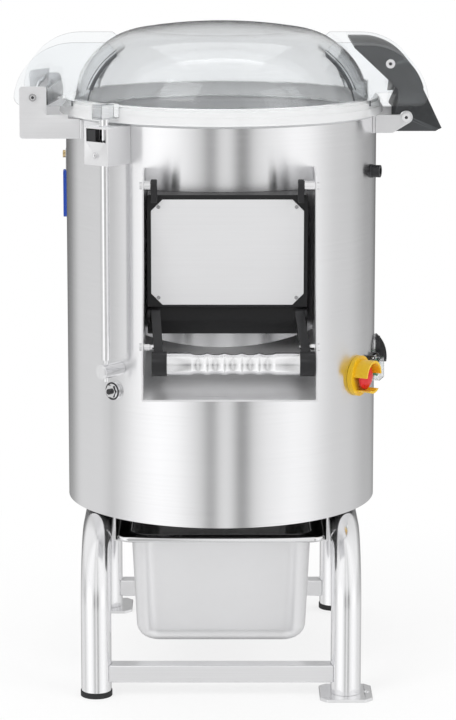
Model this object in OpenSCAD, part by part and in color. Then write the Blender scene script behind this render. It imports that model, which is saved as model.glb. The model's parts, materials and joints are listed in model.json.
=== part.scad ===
// Electric potato peeler: a steel drum on a four-legged tube frame, with a clear hinged lid,
// a front discharge door and chute, a belt-driven peeling disc and a waste pan underneath.
// Millimetres, +Z up, the front faces -Y. The origin is on the floor, on the drum's axis.

/* [Drum] */
// Outside diameter of the drum
drum_d = 400; // [390:1:410]
// Thickness of the drum's wall
drum_wall = 1.5; // [1:0.1:2.5]
// Height of the drum's lower edge over the floor
drum_base_z = 217; // [205:1:230]
// Height of the drum's wall
drum_h = 500.5; // [490:0.5:520]
// Height of the chamber's floor over the drum's lower edge
floor_rise = 227; // [222:1:230]
// Thickness of the chamber's floor and of the drum's bottom plate
plate_t = 2; // [1.5:0.1:3]

/* [Lid] */
// How far the lid's flange stands out past the drum
flange_over = 8; // [6:0.5:9]
// Height of the lid's flange
flange_h = 20; // [16:1:22]
// Thickness of the clear dome
dome_wall = 4; // [3:0.5:5]
// Radius of the dome's rounded shoulder
shoulder_r = 102; // [98:1:106]
// Radius of the dome's shallow crown
crown_r = 640; // [600:5:680]
// Distance from the middle to the middle of an ear plate
ear_y = 91; // [88:0.5:92]
// Thickness of an ear plate
ear_t = 4; // [3:0.5:5]
// Height of the ears over the lid's lower face
ear_h = 93; // [88:1:96]
// How far the lid's hinge pin stands out past the drum
hinge_out = 35.4; // [34:0.1:37]
// Radius of the lid's hinge pin
hinge_pin_r = 4; // [3.5:0.1:4.5]

/* [Discharge] */
// Sideways place of the chute's middle
chute_x = 10.25; // [5:0.25:12]
// Inside width of the chute
chute_w = 207.5; // [204:0.5:212]
// Thickness of the chute's sheet
chute_t = 2; // [1.5:0.1:3]
// How far the chute's lip stands out past the drum
chute_out = 100; // [94:1:106]
// Height of the drum's discharge window
window_h = 164; // [150:1:166]
// Width of the drum's discharge window
window_w = 170; // [150:1:174]
// Width of the door
door_w = 195.6; // [192:0.2:198]
// Height of the door's thick frame
door_h = 138.6; // [130:0.2:140]
// Diameter of the handle bar
handle_d = 27; // [24:0.5:29]

/* [Legs] */
// Gap between a leg tube and the pan's guide
leg_gap = 2.5; // [1:0.5:12]
// Distance between the front and the rear legs
leg_span_y = 390; // [380:1:400]
// Diameter of a leg tube
leg_d = 38; // [34:1:40]
// Wall of a leg tube
leg_wall = 1.5; // [1:0.1:2.5]
// Radius of a leg's bend, at the tube's middle
bend_r = 85; // [70:1:90]
// Height and depth of a cross bar
bar_size = 22; // [18:1:25]

/* [Waste pan] */
// Width of the pan over its rim
pan_w = 263; // [255:1:265]
// Length of the pan over its rim
pan_l = 325; // [300:1:330]
// Depth of the pan
pan_depth = 146; // [100:1:155]
// Thickness of the pan's sheet
pan_t = 1; // [0.8:0.1:1.5]

/* [Drive] */
// Radius of the peeling disc
disc_r = 187; // [180:0.5:190]
// Radius of the drive shaft
shaft_r = 12.45; // [10:0.05:14]
// Radius of the large pulley's groove
big_groove_r = 70; // [60:1:72]
// Radius of the motor pulley's groove
small_groove_r = 22; // [20:1:24]
// Distance from the drum's axis to the motor's axis
motor_y = 122; // [120:1:126]
// Radius of the motor's housing
motor_r = 60; // [52:1:62]

/* [Hidden] */
$fn = 96;
// Overrun of a cut past the face that it opens
over = 1;
// Gap between pieces that are seated on one another
seat = 0.2;
// Radial clearance of a pin or shaft that turns or slides in its bore
run = 0.05;
// Gap that moving pieces keep from what they pass
pass = 1;
// Colours of the finishes
steel = [0.86, 0.86, 0.87];
bright = [0.93, 0.93, 0.94];
black = [0.1, 0.1, 0.11];
dark = [0.26, 0.27, 0.29];
clear = [0.8, 0.84, 0.87, 0.35];
rubber = [0.07, 0.07, 0.07];

// Drum: derived heights and radii
drum_r = drum_d / 2;
drum_in_r = drum_r - drum_wall;
drum_top_z = drum_base_z + drum_h;
floor_z = drum_base_z + floor_rise;
plate_r = drum_in_r - seat;

// Lid: the flange rests on a gasket on the drum's edge
gasket_h = 3.1;
gasket_w = 6.5;
lid_z = drum_top_z + gasket_h + 2 * seat;
flange_r = drum_r + flange_over;
dome_base = 3.5;
dome_in = 8.5;
dome_r = drum_r - dome_in;
groove_z = 8;
groove_h = 2;
groove_d = 1.5;
flange_rim = 14;
flange_step = 3;
flange_in_r = drum_r - flange_rim;

// Lid ears: two clear plates at each side, tied by a cross web
ear_drop = 13.5;
ear_arc_r = 75.5;
ear_out = 60.5;
ear_tip_in = 69.5;
ear_tip_x = drum_r - ear_tip_in;
ear_tip_dx = 12.5;
ear_tip_dz = 10;
ear_corner_r = 12;
strip_t = 3;
strip_w = 9;
web_out = 10;
web_t = 4;
web_h = 17;
ear_side = ear_y + ear_t / 2;
ear_inner = ear_y - ear_t / 2;
ear_x = drum_r + ear_out;
ear_arc_x = ear_x - ear_arc_r;
ear_top_z = lid_z + ear_h;
ear_arc_z = ear_top_z - ear_arc_r;
ear_bottom_z = lid_z + ear_drop;

// Lid hinge: a dark sheet arm between the right ears, turning on a pin in a steel bracket
hinge_drop = 5;
hinge_x = drum_r + hinge_out;
hinge_z = lid_z - hinge_drop;
arm_t = 3;
arm_start_in = 33;
arm_low_out = 23;
arm_bolt_out = 12;
arm_gap = 3.5;
arm_side = ear_inner - seat;
arm_r = ear_arc_r - arm_gap;
arm_start_x = drum_r - arm_start_in;
arm_low_x = drum_r + arm_low_out;
arm_low_dz = 34;
arm_foot_dz = 17;
arm_bolt_x = drum_r + arm_bolt_out;
arm_bolt_dz = 67;
arm_bolt_r = 2.9;
arm_bolt_head_r = 5.8;
arm_bolt_head_h = 3.4;
arm_nut_h = 4;
knuckle_y = 47;
tail_out = 81;
tail_drop = 19;
tail_low = 23;
tail_top_dz = 36;
knuckle_back = 12.7;
bracket_y = 48;
bracket_t = 3;
bracket_end_r = 8.4;
bracket_lean = 50;
bracket_top_gap = 1.5;
bracket_plate_t = 2.5;
pin_over = 3;
pin_head_r = 5.6;

// Left side bracket: two cheeks that the left ears drop between, with a cross bolt
side_y = 95.5;
side_t = 2.5;
side_out = 53;
side_drop = 27;
side_rise = 3;
side_step = 2;
side_step_x = 8;
side_post_w = 34;
side_post_h = 38.5;
side_web_h = 31;
side_corner_r = 4;
cross_bolt_r = 3;
cross_bolt_in = 17;
cross_bolt_dz = 25;
cross_head_r = 4.9;
cross_head_h = 3;
cross_nut_r = 6.4;
slot_gap = 1.6;

// Lid sensor: box, switch and long safety rod at the front left
sensor_turn = -39.3;
box_w = 39;
box_out = 42;
box_h = 47;
box_t = 1.5;
box_top_gap = 3;
box_window_w = 32;
box_window_h = 16;
box_window_gap = 2;
box_screw_dz = 34.5;
box_screw_r = 4;
box_screw_h = 2;
box_socket_r = 1.6;
rod_out = 26;
rod_r = 5.7;
rod_thin_r = 3;
rod_cap_r = 6;
rod_cap_h = 2.4;
rod_collar_r = 8.4;
rod_collar_h = 3;
rod_travel = 4;
guide_r = 9.2;
guide_out = 35;
guide_z = 412;
guide_cap_r = 7;
guide_cap_h = 1.5;
switch_w = 15.5;
switch_d = 7;
switch_h = 19;
switch_gap = 0.5;
switch_button_r = 1.5;
switch_button_h = 1.4;
spring_wire = 1.4;
spring_turns = 5;
spring_h = 17;
spring_r = 7.5;
spring_steps = 24;
spring_sides = 8;
actuator_w = 16;
actuator_out = 32;
actuator_h = 18;
actuator_gap = 0.3;
rod_tip_h = 5.7;
bracket_low = 20;
cover_pin_y = 15.6;
cover_pin_z = 6;
cover_lug_x = 10.5;
cover_lug_t = 3;
cover_lug_r = 2.7;
start_nut_r = 12;
slot_w = 9;

// Chute: sloped floor between two side plates
chute_left = chute_x - chute_w / 2;
chute_right = chute_x + chute_w / 2;
chute_meet_z = 445.3;
chute_slope = 24.5;
chute_top_z = 667;
chute_top_out = 38;
chute_tip_y = -drum_r - chute_out;
chute_tip_z = chute_meet_z - chute_out * tan(chute_slope);
chute_top_r = 14;
chute_edge_h = 6;

// Door: hung on two pins at its top corners
door_x = chute_x - 2.5;
door_out = 26;
door_y = -drum_r - door_out;
door_z = 501.4;
door_skirt_h = 34;
door_skirt_back = 8;
door_wall = 9;
door_rim = 10;
door_hinge_out = 32;
door_hinge_y = -drum_r - door_hinge_out;
door_hinge_z = 652;
door_pin_r = 3.5;
door_pin_head_r = 4.7;
door_pin_head_h = 3;
lug_r = 8;
lug_t = 7.5;
lug_in = 5;
door_gasket_t = 2.6;
window_z = 474;
window_corner_r = 12;
label_w = 185.8;
label_h = 129.5;
label_t = 1.2;
label_cut = 13.7;
label_lift = 3.6;
rivet_r = 2.2;
rivet_h = 1;
rivet_in = 9;
spacer_r = 6;
spacer_low_r = 4.6;

// Lever: two arms and a bar, hung from the door's lower corners and hooked on the lower pins
lever_out = 28;
lever_y = -drum_r - lever_out;
lever_z = 492;
lever_eye_r = 8;
lever_pin_r = 3.5;
lever_arm_t = 11;
lever_arm_w = 17;
lever_lug_t = 4.6;
handle_out = 85;
handle_y = -drum_r - handle_out;
handle_z = 443;
handle_left = -65.3;
handle_right = 94.9;
boss_r = 14.8;
boss_w = 18;
low_pin_out = 66;
low_pin_y = -drum_r - low_pin_out;
low_pin_z = 460;
low_pin_reach = 9;
grip_count = 5;
grip_pitch = 20.8;
grip_r = 26;
grip_depth = 1.8;
grip_x = 14.6;
handle_screw_r = 3;
right_spacer_x = 108;

// Pan and its guides
pan_top_z = 196;
pan_lip = 15;
pan_fold = 8;
pan_taper = 8;
pan_corner_r = 28;
pan_gap = 2;
guide_t = 2;
guide_l = 288;
guide_lip = 11;

// Frame: feet, floor plates and cross bars
leg_r = leg_d / 2;
leg_x = pan_w / 2 + pan_gap + guide_t + leg_gap + leg_r;
leg_y = leg_span_y / 2;
leg_top_z = drum_base_z - leg_r - seat;
foot_h = 7;
foot_over = 1;
foot_plug_h = 15;
floor_plate_w = 66;
floor_plate_t = 4;
floor_plate_cut = 9;
anchor_r = 3.5;
anchor_out = 26.5;
bar_z = 30;

// Controls at the right of the drum
stop_turn = 60.1;
stop_z = 391.3;
stop_base_r = 25.8;
stop_base_h = 5.2;
stop_collar_r = 21;
stop_collar_t = 3;
stop_collar_h = 19;
stop_barrel_r = 11;
stop_stem_r = 6;
stop_depth = 45;
stop_head_r = 16.5;
stop_head_h = 8.3;
stop_head_lift = 5.8;
stop_crown_r = 26;
stop_gap_w = 18;
stop_gap_y = -7.5;
nut_r = 15;
nut_h = 5;
start_turn = 74;
start_z = 392;
start_size = 25;
start_base_h = 3;
start_barrel_r = 9;
start_bore_r = 7.5;
start_depth = 36;
start_button_r = 9.5;
start_ring_w = 0.8;
start_ring_h = 4.5;
start_lift = 4;
start_travel = 2.5;
cover_t = 1.2;
cover_h = 12;
cover_pin_r = 1.5;
timer_turn = 88;
timer_z = 409.7;
timer_base_r = 18;
timer_base_h = 1.2;
timer_stem_r = 3;
timer_body_w = 24;
timer_depth = 42;
knob_r = 18.3;
knob_skirt_h = 2;
knob_low_h = 6;
knob_low_in = 3;
knob_grip_w = 9;
knob_arc_r = 38;
knob_arc_y = -11;
knob_arc_z = -21.6;
reset_turn = -42;
reset_z = 381.7;
reset_r = 11.4;
reset_h = 4;
reset_nut_r = 8.4;
reset_button_r = 3.6;
reset_lift = 3;
reset_depth = 28;
gland_turn = 72.5;
gland_z = 648.5;
gland_r = 7.9;
gland_out = 12.4;
gland_in = 8;
gland_foot_r = 8.6;
gland_foot_h = 2.5;
gland_thread_r = 6.2;
gland_nut_r = 10;
gland_bore_r = 4.5;

// Water valve at the rear left
valve_y = 128;
valve_off = 24.143;
valve_x = -sqrt(pow(drum_r + valve_off, 2) - valve_y * valve_y);
valve_z = 648;
valve_r = 14;
valve_h = 38;
valve_hex_r = 15.5;
valve_hex_h = 10;
valve_stub_r = 10.48;
valve_stub_h = 14;
valve_collar_r = 11.6;
valve_elbow_h = 24;
valve_stem_r = 5;
valve_stem_out = 24;
valve_bore_r = 7;
handle_strip_t = 3;
handle_strip_w = 16;
sleeve_t = 10;
sleeve_w = 19;
sleeve_h = 63;
sleeve_dz = 21.5;
pipe_r = 8;
pipe_bend_r = 16;
pipe_rise = 4;
nozzle_r = 12;
nozzle_h = 7;
pipe_wall = 1.5;
nozzle_in = 12;
pipe_turn = atan2(valve_x, -valve_y);
valve_out = norm([valve_x, valve_y]);
valve_top_z = valve_z + valve_h / 2 + valve_hex_h;
pipe_z = valve_top_z + pipe_rise + pipe_bend_r;

// Drive inside the drum's lower part
disc_z = 461;
disc_t = 8;
disc_hub_r = 30;
disc_hub_h = 12;
ridge_count = 3;
ridge_h = 9;
ridge_w = 46;
ridge_in = 40;
bearing_r = 26;
bearing_h = 14;
housing_r = 38;
housing_h = 102;
housing_flange_r = 50;
housing_flange_h = 6;
housing_core_r = 17;
pulley_z = 290;
pulley_h = 20;
pulley_rim = 4;
pulley_rim_over = 9;
belt_t = 7;
belt_gap = 0.4;
motor_h = 112;
motor_flange_r = 66;
motor_flange_h = 7;
fin_count = 7;
fin_h = 3;
fin_depth = 3;
motor_top_z = floor_z - seat;
motor_low_z = motor_top_z - motor_flange_h - motor_h;
motor_shaft_r = 7;
motor_shaft_in = 24;
drain_x = -80;
drain_y = -95;
drain_r = 30;
drain_t = 2;
drain_below = 6;
ebox_x = 96;
ebox_l = 66;
ebox_w = 120;
ebox_h = 62;
lining_t = 3;
lining_z = 480;
lining_h = 150;
lining_gap = 12;
lining_count = 4;
vent_count = 5;
vent_pitch = 16;
vent_l = 60;
vent_w = 6;

// A ring that stands on the origin
module ring(r_out, r_in, h) {
    difference() {
        cylinder(r = r_out, h = h);
        translate([0, 0, -over]) cylinder(r = r_in, h = h + 2 * over);
    }
}

// Children in a frame whose +Z leaves the drum's axis at this turn from the front, +Y staying up
module outward(turn, r, z) {
    rotate([0, 0, turn]) translate([0, -r, z]) rotate([90, 0, 0]) children();
}

// Children drawn in X and Z, extruded from y0 to y1
module slab(y0, y1) {
    translate([0, y1, 0]) rotate([90, 0, 0]) linear_extrude(y1 - y0) children();
}

// Children drawn in Y and Z, extruded from x0 to x1
module side_slab(x0, x1) {
    translate([x0, 0, 0]) rotate([90, 0, 90]) linear_extrude(x1 - x0) children();
}

// A rectangle from one corner to the other with round corners
module round_rect(x0, z0, x1, z1, r) {
    translate([x0 + r, z0]) square([x1 - x0 - 2 * r, z1 - z0]);
    translate([x0, z0 + r]) square([x1 - x0, z1 - z0 - 2 * r]);
    for (x = [x0 + r, x1 - r], z = [z0 + r, z1 - r]) translate([x, z]) circle(r = r);
}

// A rectangle from one corner to the other with its corners cut off
module cut_rect(x0, z0, x1, z1, cut) {
    polygon([[x0 + cut, z0], [x1 - cut, z0], [x1, z0 + cut], [x1, z1 - cut],
        [x1 - cut, z1], [x0 + cut, z1], [x0, z1 - cut], [x0, z0 + cut]]);
}

// The space inside the drum's outer face, taller than anything near it
module drum_space(grow = seat) {
    cylinder(r = drum_r + grow, h = drum_top_z + drum_h);
}

// The holes that the fittings need in the drum's wall
module wall_hole(turn, z, r) {
    outward(turn, drum_r - over - drum_wall, z) cylinder(r = r, h = 2 * over + 2 * drum_wall);
}

module outer_drum() {
    color(steel) difference() {
        translate([0, 0, drum_base_z]) ring(drum_r, drum_in_r, drum_h);
        slab(-drum_r - over, -drum_r / 2)
            round_rect(chute_x - window_w / 2, window_z, chute_x + window_w / 2, window_z + window_h,
                window_corner_r);
        wall_hole(stop_turn, stop_z, stop_barrel_r + seat);
        wall_hole(start_turn, start_z, start_barrel_r + seat);
        wall_hole(timer_turn, timer_z, timer_stem_r + 2 * timer_stem_r);
        wall_hole(reset_turn, reset_z, reset_nut_r);
        wall_hole(gland_turn, gland_z, gland_r - box_t);
        wall_hole(pipe_turn, pipe_z, pipe_r + seat);
    }
}

module bottom_plate() {
    color(dark) difference() {
        translate([0, 0, drum_base_z]) cylinder(r = plate_r, h = plate_t);
        translate([drain_x, drain_y, drum_base_z - over])
            cylinder(r = drain_r + seat, h = plate_t + 2 * over);
        for (k = [0 : vent_count - 1])
            translate([0, motor_y + (k - (vent_count - 1) / 2) * vent_pitch, drum_base_z + plate_t / 2])
                cube([vent_l, vent_w, plate_t + 2 * over], center = true);
    }
}

module chamber_floor() {
    color(steel) difference() {
        translate([0, 0, floor_z]) cylinder(r = plate_r, h = plate_t);
        translate([0, 0, floor_z - over]) cylinder(r = housing_r + seat, h = plate_t + 2 * over);
        translate([drain_x, drain_y, floor_z - over])
            cylinder(r = drain_r + seat, h = plate_t + 2 * over);
    }
}

module wall_lining() {
    color(dark) difference() {
        translate([0, 0, lining_z]) ring(plate_r, plate_r - lining_t, lining_h);
        slab(-drum_r - over, 0)
            translate([chute_x - window_w / 2 - lining_gap, lining_z - over])
                square([window_w + 2 * lining_gap, lining_h + 2 * over]);
        for (k = [0 : lining_count - 1])
            rotate([0, 0, k * 180 / lining_count + 180 / lining_count / 2])
                translate([-drum_r, -lining_gap / 2, lining_z - over])
                    cube([2 * drum_r, lining_gap, lining_h + 2 * over]);
    }
}

// The solid line of one bent leg tube, of radius r, from heights z0 in front to z1 behind
module leg_line(r, z0, z1) {
    low_z = leg_top_z - bend_r;
    translate([0, -leg_y, z0]) cylinder(r = r, h = low_z - z0);
    translate([0, leg_y, z1]) cylinder(r = r, h = low_z - z1);
    for (s = [0, 1]) mirror([0, s, 0])
        translate([0, -leg_y + bend_r, low_z]) rotate([90, 0, -90])
            rotate_extrude(angle = 90) translate([bend_r, 0]) circle(r = r);
    translate([0, -leg_y + bend_r, leg_top_z]) rotate([-90, 0, 0])
        cylinder(r = r, h = 2 * leg_y - 2 * bend_r);
}

module leg_tube(x, z0, z1) {
    color(bright) translate([x, 0, 0]) difference() {
        leg_line(leg_r, z0, z1);
        leg_line(leg_r - leg_wall, z0 - over, z1 - over);
    }
}

module left_leg_tube() {
    leg_tube(-leg_x, foot_h, floor_plate_t);
}

module right_leg_tube() {
    leg_tube(leg_x, floor_plate_t, foot_h);
}

module cross_bars() {
    color(steel) for (s = [-1, 1]) difference() {
        translate([0, s * leg_y, bar_z]) cube([2 * leg_x, bar_size, bar_size], center = true);
        translate([0, s * leg_y, bar_z])
            cube([2 * leg_x, bar_size - 2 * leg_wall, bar_size - 2 * leg_wall], center = true);
        for (x = [-leg_x, leg_x])
            translate([x, s * leg_y, 0]) cylinder(r = leg_r + seat, h = 2 * bar_z + bar_size);
    }
}

module rubber_feet() {
    color(rubber) for (s = [-1, 1]) translate([s * leg_x, s * leg_y, 0]) {
        cylinder(r = leg_r + foot_over, h = foot_h - seat);
        translate([0, 0, foot_h / 2])
            cylinder(r = leg_r - leg_wall - seat, h = foot_plug_h + foot_h / 2);
    }
}

module floor_plates() {
    half = floor_plate_w / 2;
    color(steel) for (s = [-1, 1]) translate([-s * leg_x, s * leg_y, 0]) difference() {
        linear_extrude(floor_plate_t - seat) cut_rect(-half, -half, half, half, floor_plate_cut);
        translate([-s * anchor_out, 0, -over]) cylinder(r = anchor_r, h = floor_plate_t + 2 * over);
    }
}

module pan_guides() {
    x = pan_w / 2 + pan_gap;
    lip_z = pan_top_z - pan_fold - seat;
    color(steel) for (s = [0, 1]) mirror([s, 0, 0]) slab(-guide_l / 2, guide_l / 2) {
        translate([x, lip_z - guide_t]) square([guide_t, drum_base_z - seat - lip_z + guide_t]);
        translate([x - guide_lip, lip_z - guide_t]) square([guide_lip + guide_t, guide_t]);
    }
}

// Outline of a chute side plate in Y and Z
module chute_side() {
    top_y = -drum_r - chute_top_out;
    polygon([[-drum_r / 2, chute_meet_z + drum_r / 2 * tan(chute_slope)], [chute_tip_y, chute_tip_z],
        [chute_tip_y, chute_tip_z + chute_edge_h], [top_y, chute_top_z - chute_top_r],
        [top_y + chute_top_r, chute_top_z - chute_top_r], [top_y + chute_top_r, chute_top_z],
        [-drum_r / 2, chute_top_z]]);
    translate([top_y + chute_top_r, chute_top_z - chute_top_r]) circle(r = chute_top_r);
}

module discharge_chute() {
    color(steel) difference() {
        union() {
            side_slab(chute_left - chute_t, chute_left) chute_side();
            side_slab(chute_right, chute_right + chute_t) chute_side();
            side_slab(chute_left - chute_t, chute_right + chute_t) polygon([
                [-drum_r / 2, chute_meet_z + drum_r / 2 * tan(chute_slope)], [chute_tip_y, chute_tip_z],
                [chute_tip_y, chute_tip_z + chute_t],
                [-drum_r / 2, chute_meet_z + drum_r / 2 * tan(chute_slope) + chute_t]]);
        }
        drum_space();
        for (p = [[door_hinge_y, door_hinge_z], [low_pin_y, low_pin_z]])
            translate([chute_left - chute_t - over, p[0], p[1]]) rotate([0, 90, 0])
                cylinder(r = door_pin_r + run, h = chute_w + 2 * chute_t + 2 * over);
    }
}

// A headed pin whose shank runs along +X from a side plate's outer face
module side_pin(length) {
    rotate([0, 90, 0]) {
        cylinder(r = door_pin_r, h = length);
        translate([0, 0, -door_pin_head_h - seat]) cylinder(r = door_pin_head_r, h = door_pin_head_h + seat);
    }
}

door_left = door_x - door_w / 2;
door_right = door_x + door_w / 2;
lug_left = door_left + lug_in;
lug_right = door_right - lug_in;
arm_left = door_left + lever_lug_t + seat;
arm_right = door_right - lever_lug_t - seat;

module door_pins() {
    color(bright) {
        translate([chute_left - chute_t, door_hinge_y, door_hinge_z])
            side_pin(lug_left + lug_t - chute_left + chute_t);
        translate([chute_right + chute_t, door_hinge_y, door_hinge_z]) mirror([1, 0, 0])
            side_pin(chute_right + chute_t - lug_right + lug_t);
        translate([chute_left - chute_t, low_pin_y, low_pin_z])
            side_pin(arm_left + low_pin_reach - chute_left + chute_t);
        translate([chute_right + chute_t, low_pin_y, low_pin_z]) mirror([1, 0, 0])
            side_pin(chute_right + chute_t - handle_right - boss_w / 2 + low_pin_reach);
    }
}

module spacer(x0, x1, y, z, r) {
    translate([x0 + seat, y, z]) rotate([0, 90, 0]) ring(r, door_pin_r + run, x1 - x0 - 2 * seat);
}

module pin_spacers() {
    color(bright) {
        spacer(chute_left, lug_left, door_hinge_y, door_hinge_z, spacer_r);
        spacer(lug_right, chute_right, door_hinge_y, door_hinge_z, spacer_r);
        spacer(chute_left, arm_left - seat, low_pin_y, low_pin_z, spacer_low_r);
        spacer(right_spacer_x, chute_right, low_pin_y, low_pin_z, spacer_low_r);
    }
}

// The door's block, as far back as the drum's face and the gasket on it
module door_block() {
    top = door_z + door_h;
    side_slab(door_left, door_right) polygon([[door_y, door_z], [door_y + door_skirt_back, door_z],
        [door_y + door_skirt_back, door_z - door_skirt_h], [-drum_r / 2, door_z - door_skirt_h],
        [-drum_r / 2, top], [door_y, top]]);
    for (x = [lug_left, lug_right - lug_t]) side_slab(x, x + lug_t) {
        translate([door_hinge_y, door_hinge_z]) circle(r = lug_r);
        translate([door_hinge_y - lug_r, top - lug_r])
            square([2 * lug_r, door_hinge_z - top + lug_r]);
    }
    for (x = [door_left, door_right - lever_lug_t]) side_slab(x, x + lever_lug_t) {
        translate([lever_y, lever_z]) circle(r = lever_eye_r);
        translate([lever_y, lever_z - lever_eye_r])
            square([door_y + door_skirt_back - lever_y + over, 2 * lever_eye_r]);
    }
}

module door_frame() {
    color(black) difference() {
        door_block();
        drum_space(door_gasket_t + 2 * seat);
        translate([door_left + door_rim, door_y + door_wall + door_skirt_back,
            door_z - door_skirt_h + door_rim])
            cube([door_w - 2 * door_rim, drum_r, door_skirt_h + door_h - 2 * door_rim]);
        translate([door_left - over, door_hinge_y, door_hinge_z]) rotate([0, 90, 0])
            cylinder(r = door_pin_r + run, h = door_w + 2 * over);
        translate([door_left - over, lever_y, lever_z]) rotate([0, 90, 0])
            cylinder(r = lever_pin_r + run, h = door_w + 2 * over);
    }
}

module door_gasket() {
    in = door_rim - seat;
    color(rubber) intersection() {
        translate([0, 0, door_z - door_skirt_h]) ring(drum_r + door_gasket_t + seat, drum_r + seat,
            door_h + door_skirt_h);
        slab(-drum_r - over - door_gasket_t, -drum_r / 2) difference() {
            translate([door_left, door_z - door_skirt_h]) square([door_w, door_h + door_skirt_h]);
            translate([door_left + in, door_z - door_skirt_h + in])
                square([door_w - 2 * in, door_h + door_skirt_h - 2 * in]);
        }
    }
}

label_z = door_z + label_lift;

module label_plate() {
    color(steel) slab(door_y - seat - label_t, door_y - seat)
        cut_rect(door_x - label_w / 2, label_z, door_x + label_w / 2, label_z + label_h, label_cut);
}

module label_rivets() {
    color(bright)
    for (x = [-1, 1], z = [label_z + rivet_in, label_z + label_h - rivet_in])
        translate([door_x + x * (label_w / 2 - rivet_in), door_y - label_t - seat, z]) rotate([90, 0, 0])
            cylinder(r = rivet_r, h = rivet_h);
}

// Place of a lever arm's middle across, at its eye and at its boss
lever_run = norm([handle_y - lever_y, handle_z - lever_z]);
lever_pitch = atan2(lever_z - handle_z, lever_y - handle_y);

// One arm between an eye at x_eye and a boss from x_boss, with a notch for the lower pin
module lever_arm(x_eye, x_boss, x_pin) {
    shift = x_boss + boss_w / 2 - x_eye - lever_arm_t / 2;
    difference() {
        union() {
            translate([x_eye, lever_y, lever_z]) rotate([0, 90, 0])
                cylinder(r = lever_eye_r, h = lever_arm_t);
            translate([x_boss, handle_y, handle_z]) rotate([0, 90, 0]) cylinder(r = boss_r, h = boss_w);
            translate([x_eye + lever_arm_t / 2, lever_y, lever_z]) rotate([lever_pitch, 0, 0])
                rotate([0, 0, atan2(shift, lever_run)]) translate([0, -lever_run / 2, 0])
                    cube([lever_arm_t, lever_run, lever_arm_w], center = true);
        }
        pin_notch(x_boss - boss_w);
        translate([x_boss - over, handle_y, handle_z]) rotate([0, 90, 0])
            cylinder(r = handle_screw_r, h = boss_w + 2 * over);
        translate([arm_right, lever_y, lever_z]) rotate([0, 90, 0])
            cylinder(r = lever_eye_r + pass, h = lever_arm_t);
    }
    translate([x_pin, lever_y, lever_z]) rotate([0, 90, 0])
        cylinder(r = lever_pin_r, h = lever_lug_t + over);
}

// The notch is round about the pin and opens back and down, so the arm can leave it both ways
module pin_notch(x) {
    r = door_pin_r + pass;
    side_slab(x, x + 3 * boss_w) {
        translate([low_pin_y, low_pin_z]) circle(r = r);
        polygon([[low_pin_y, low_pin_z + r], [low_pin_y + lever_arm_w, low_pin_z + r],
            [low_pin_y + lever_arm_w, low_pin_z - 2 * lever_arm_w],
            [low_pin_y - r, low_pin_z]]);
    }
}

module lever_arms() {
    color(black) {
        lever_arm(arm_left, handle_left - boss_w, arm_left - lever_lug_t - seat);
        lever_arm(arm_right - lever_arm_t, handle_right, arm_right - over);
    }
}

module lever_handle() {
    length = handle_right - handle_left;
    color(bright) translate([handle_left, handle_y, handle_z]) rotate([0, 90, 0]) {
        rotate_extrude() difference() {
            translate([0, seat]) square([handle_d / 2, length - 2 * seat]);
            for (k = [0 : grip_count - 1])
                translate([handle_d / 2 + grip_r - grip_depth,
                    grip_x - handle_left + (k - (grip_count - 1) / 2) * grip_pitch]) circle(r = grip_r);
        }
        translate([0, 0, -boss_w - seat]) cylinder(r = handle_screw_r - seat, h = boss_w + over);
        translate([0, 0, length - over]) cylinder(r = handle_screw_r - seat, h = boss_w + over + seat);
    }
}

box_top_z = lid_z - box_top_gap;
box_low_z = box_top_z - box_h;
spring_z = box_low_z + box_t + seat;
rod_top_z = lid_z + actuator_gap + rod_tip_h;
rod_low_z = guide_z + guide_r + rod_travel + pass;

module sensor_box() {
    y = -drum_r - box_out;
    color(steel) difference() {
        rotate([0, 0, sensor_turn]) difference() {
            translate([-box_w / 2, y, box_low_z]) cube([box_w, box_out + box_w, box_h]);
            translate([-box_w / 2 + box_t, y + box_t, box_low_z + box_t])
                cube([box_w - 2 * box_t, box_out + 2 * box_w, box_h - 2 * box_t]);
            translate([-box_window_w / 2, y - over, box_top_z - box_window_gap - box_window_h])
                cube([box_window_w, box_t + 2 * over, box_window_h]);
            translate([0, -drum_r - rod_out, box_low_z - over]) cylinder(r = rod_r + run, h = box_h / 2);
            translate([0, -drum_r - rod_out, box_low_z + box_h / 2]) cylinder(r = rod_r + pass, h = box_h);
            outward(0, drum_r + box_out - box_t - over, box_top_z - box_screw_dz)
                cylinder(r = box_screw_r / 2 + seat, h = box_t + 2 * over);
        }
        drum_space();
    }
}

module box_screw() {
    color(bright) rotate([0, 0, sensor_turn]) outward(0, drum_r + box_out, box_top_z - box_screw_dz)
        difference() {
            union() {
                translate([0, 0, seat]) cylinder(r = box_screw_r, h = box_screw_h);
                translate([0, 0, -box_t - box_screw_h])
                    cylinder(r = box_screw_r / 2, h = box_t + 2 * box_screw_h);
            }
            cylinder(r = box_socket_r, h = 2 * box_screw_h, $fn = 6);
        }
}

module lid_switch() {
    x = -box_w / 2 + box_t + switch_gap;
    z = box_top_z - box_t - box_screw_h - switch_h;
    color(black) rotate([0, 0, sensor_turn]) {
        translate([x, -drum_r - box_out + box_t + seat, z]) cube([switch_w, switch_d, switch_h]);
        translate([x + switch_w - seat, -drum_r - box_out + box_t + switch_d / 2, z + switch_h / 2])
            rotate([0, 90, 0]) cylinder(r = switch_button_r, h = switch_button_h);
    }
}

module rod_guide() {
    color(steel) difference() {
        outward(sensor_turn, drum_r - guide_r, guide_z) {
            cylinder(r = guide_r, h = guide_out + guide_r);
            cylinder(r = guide_cap_r, h = guide_out + guide_r + guide_cap_h);
        }
        drum_space();
        rotate([0, 0, sensor_turn]) translate([0, -drum_r - rod_out, guide_z - 2 * guide_r])
            cylinder(r = rod_thin_r + run, h = 4 * guide_r);
    }
}

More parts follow.
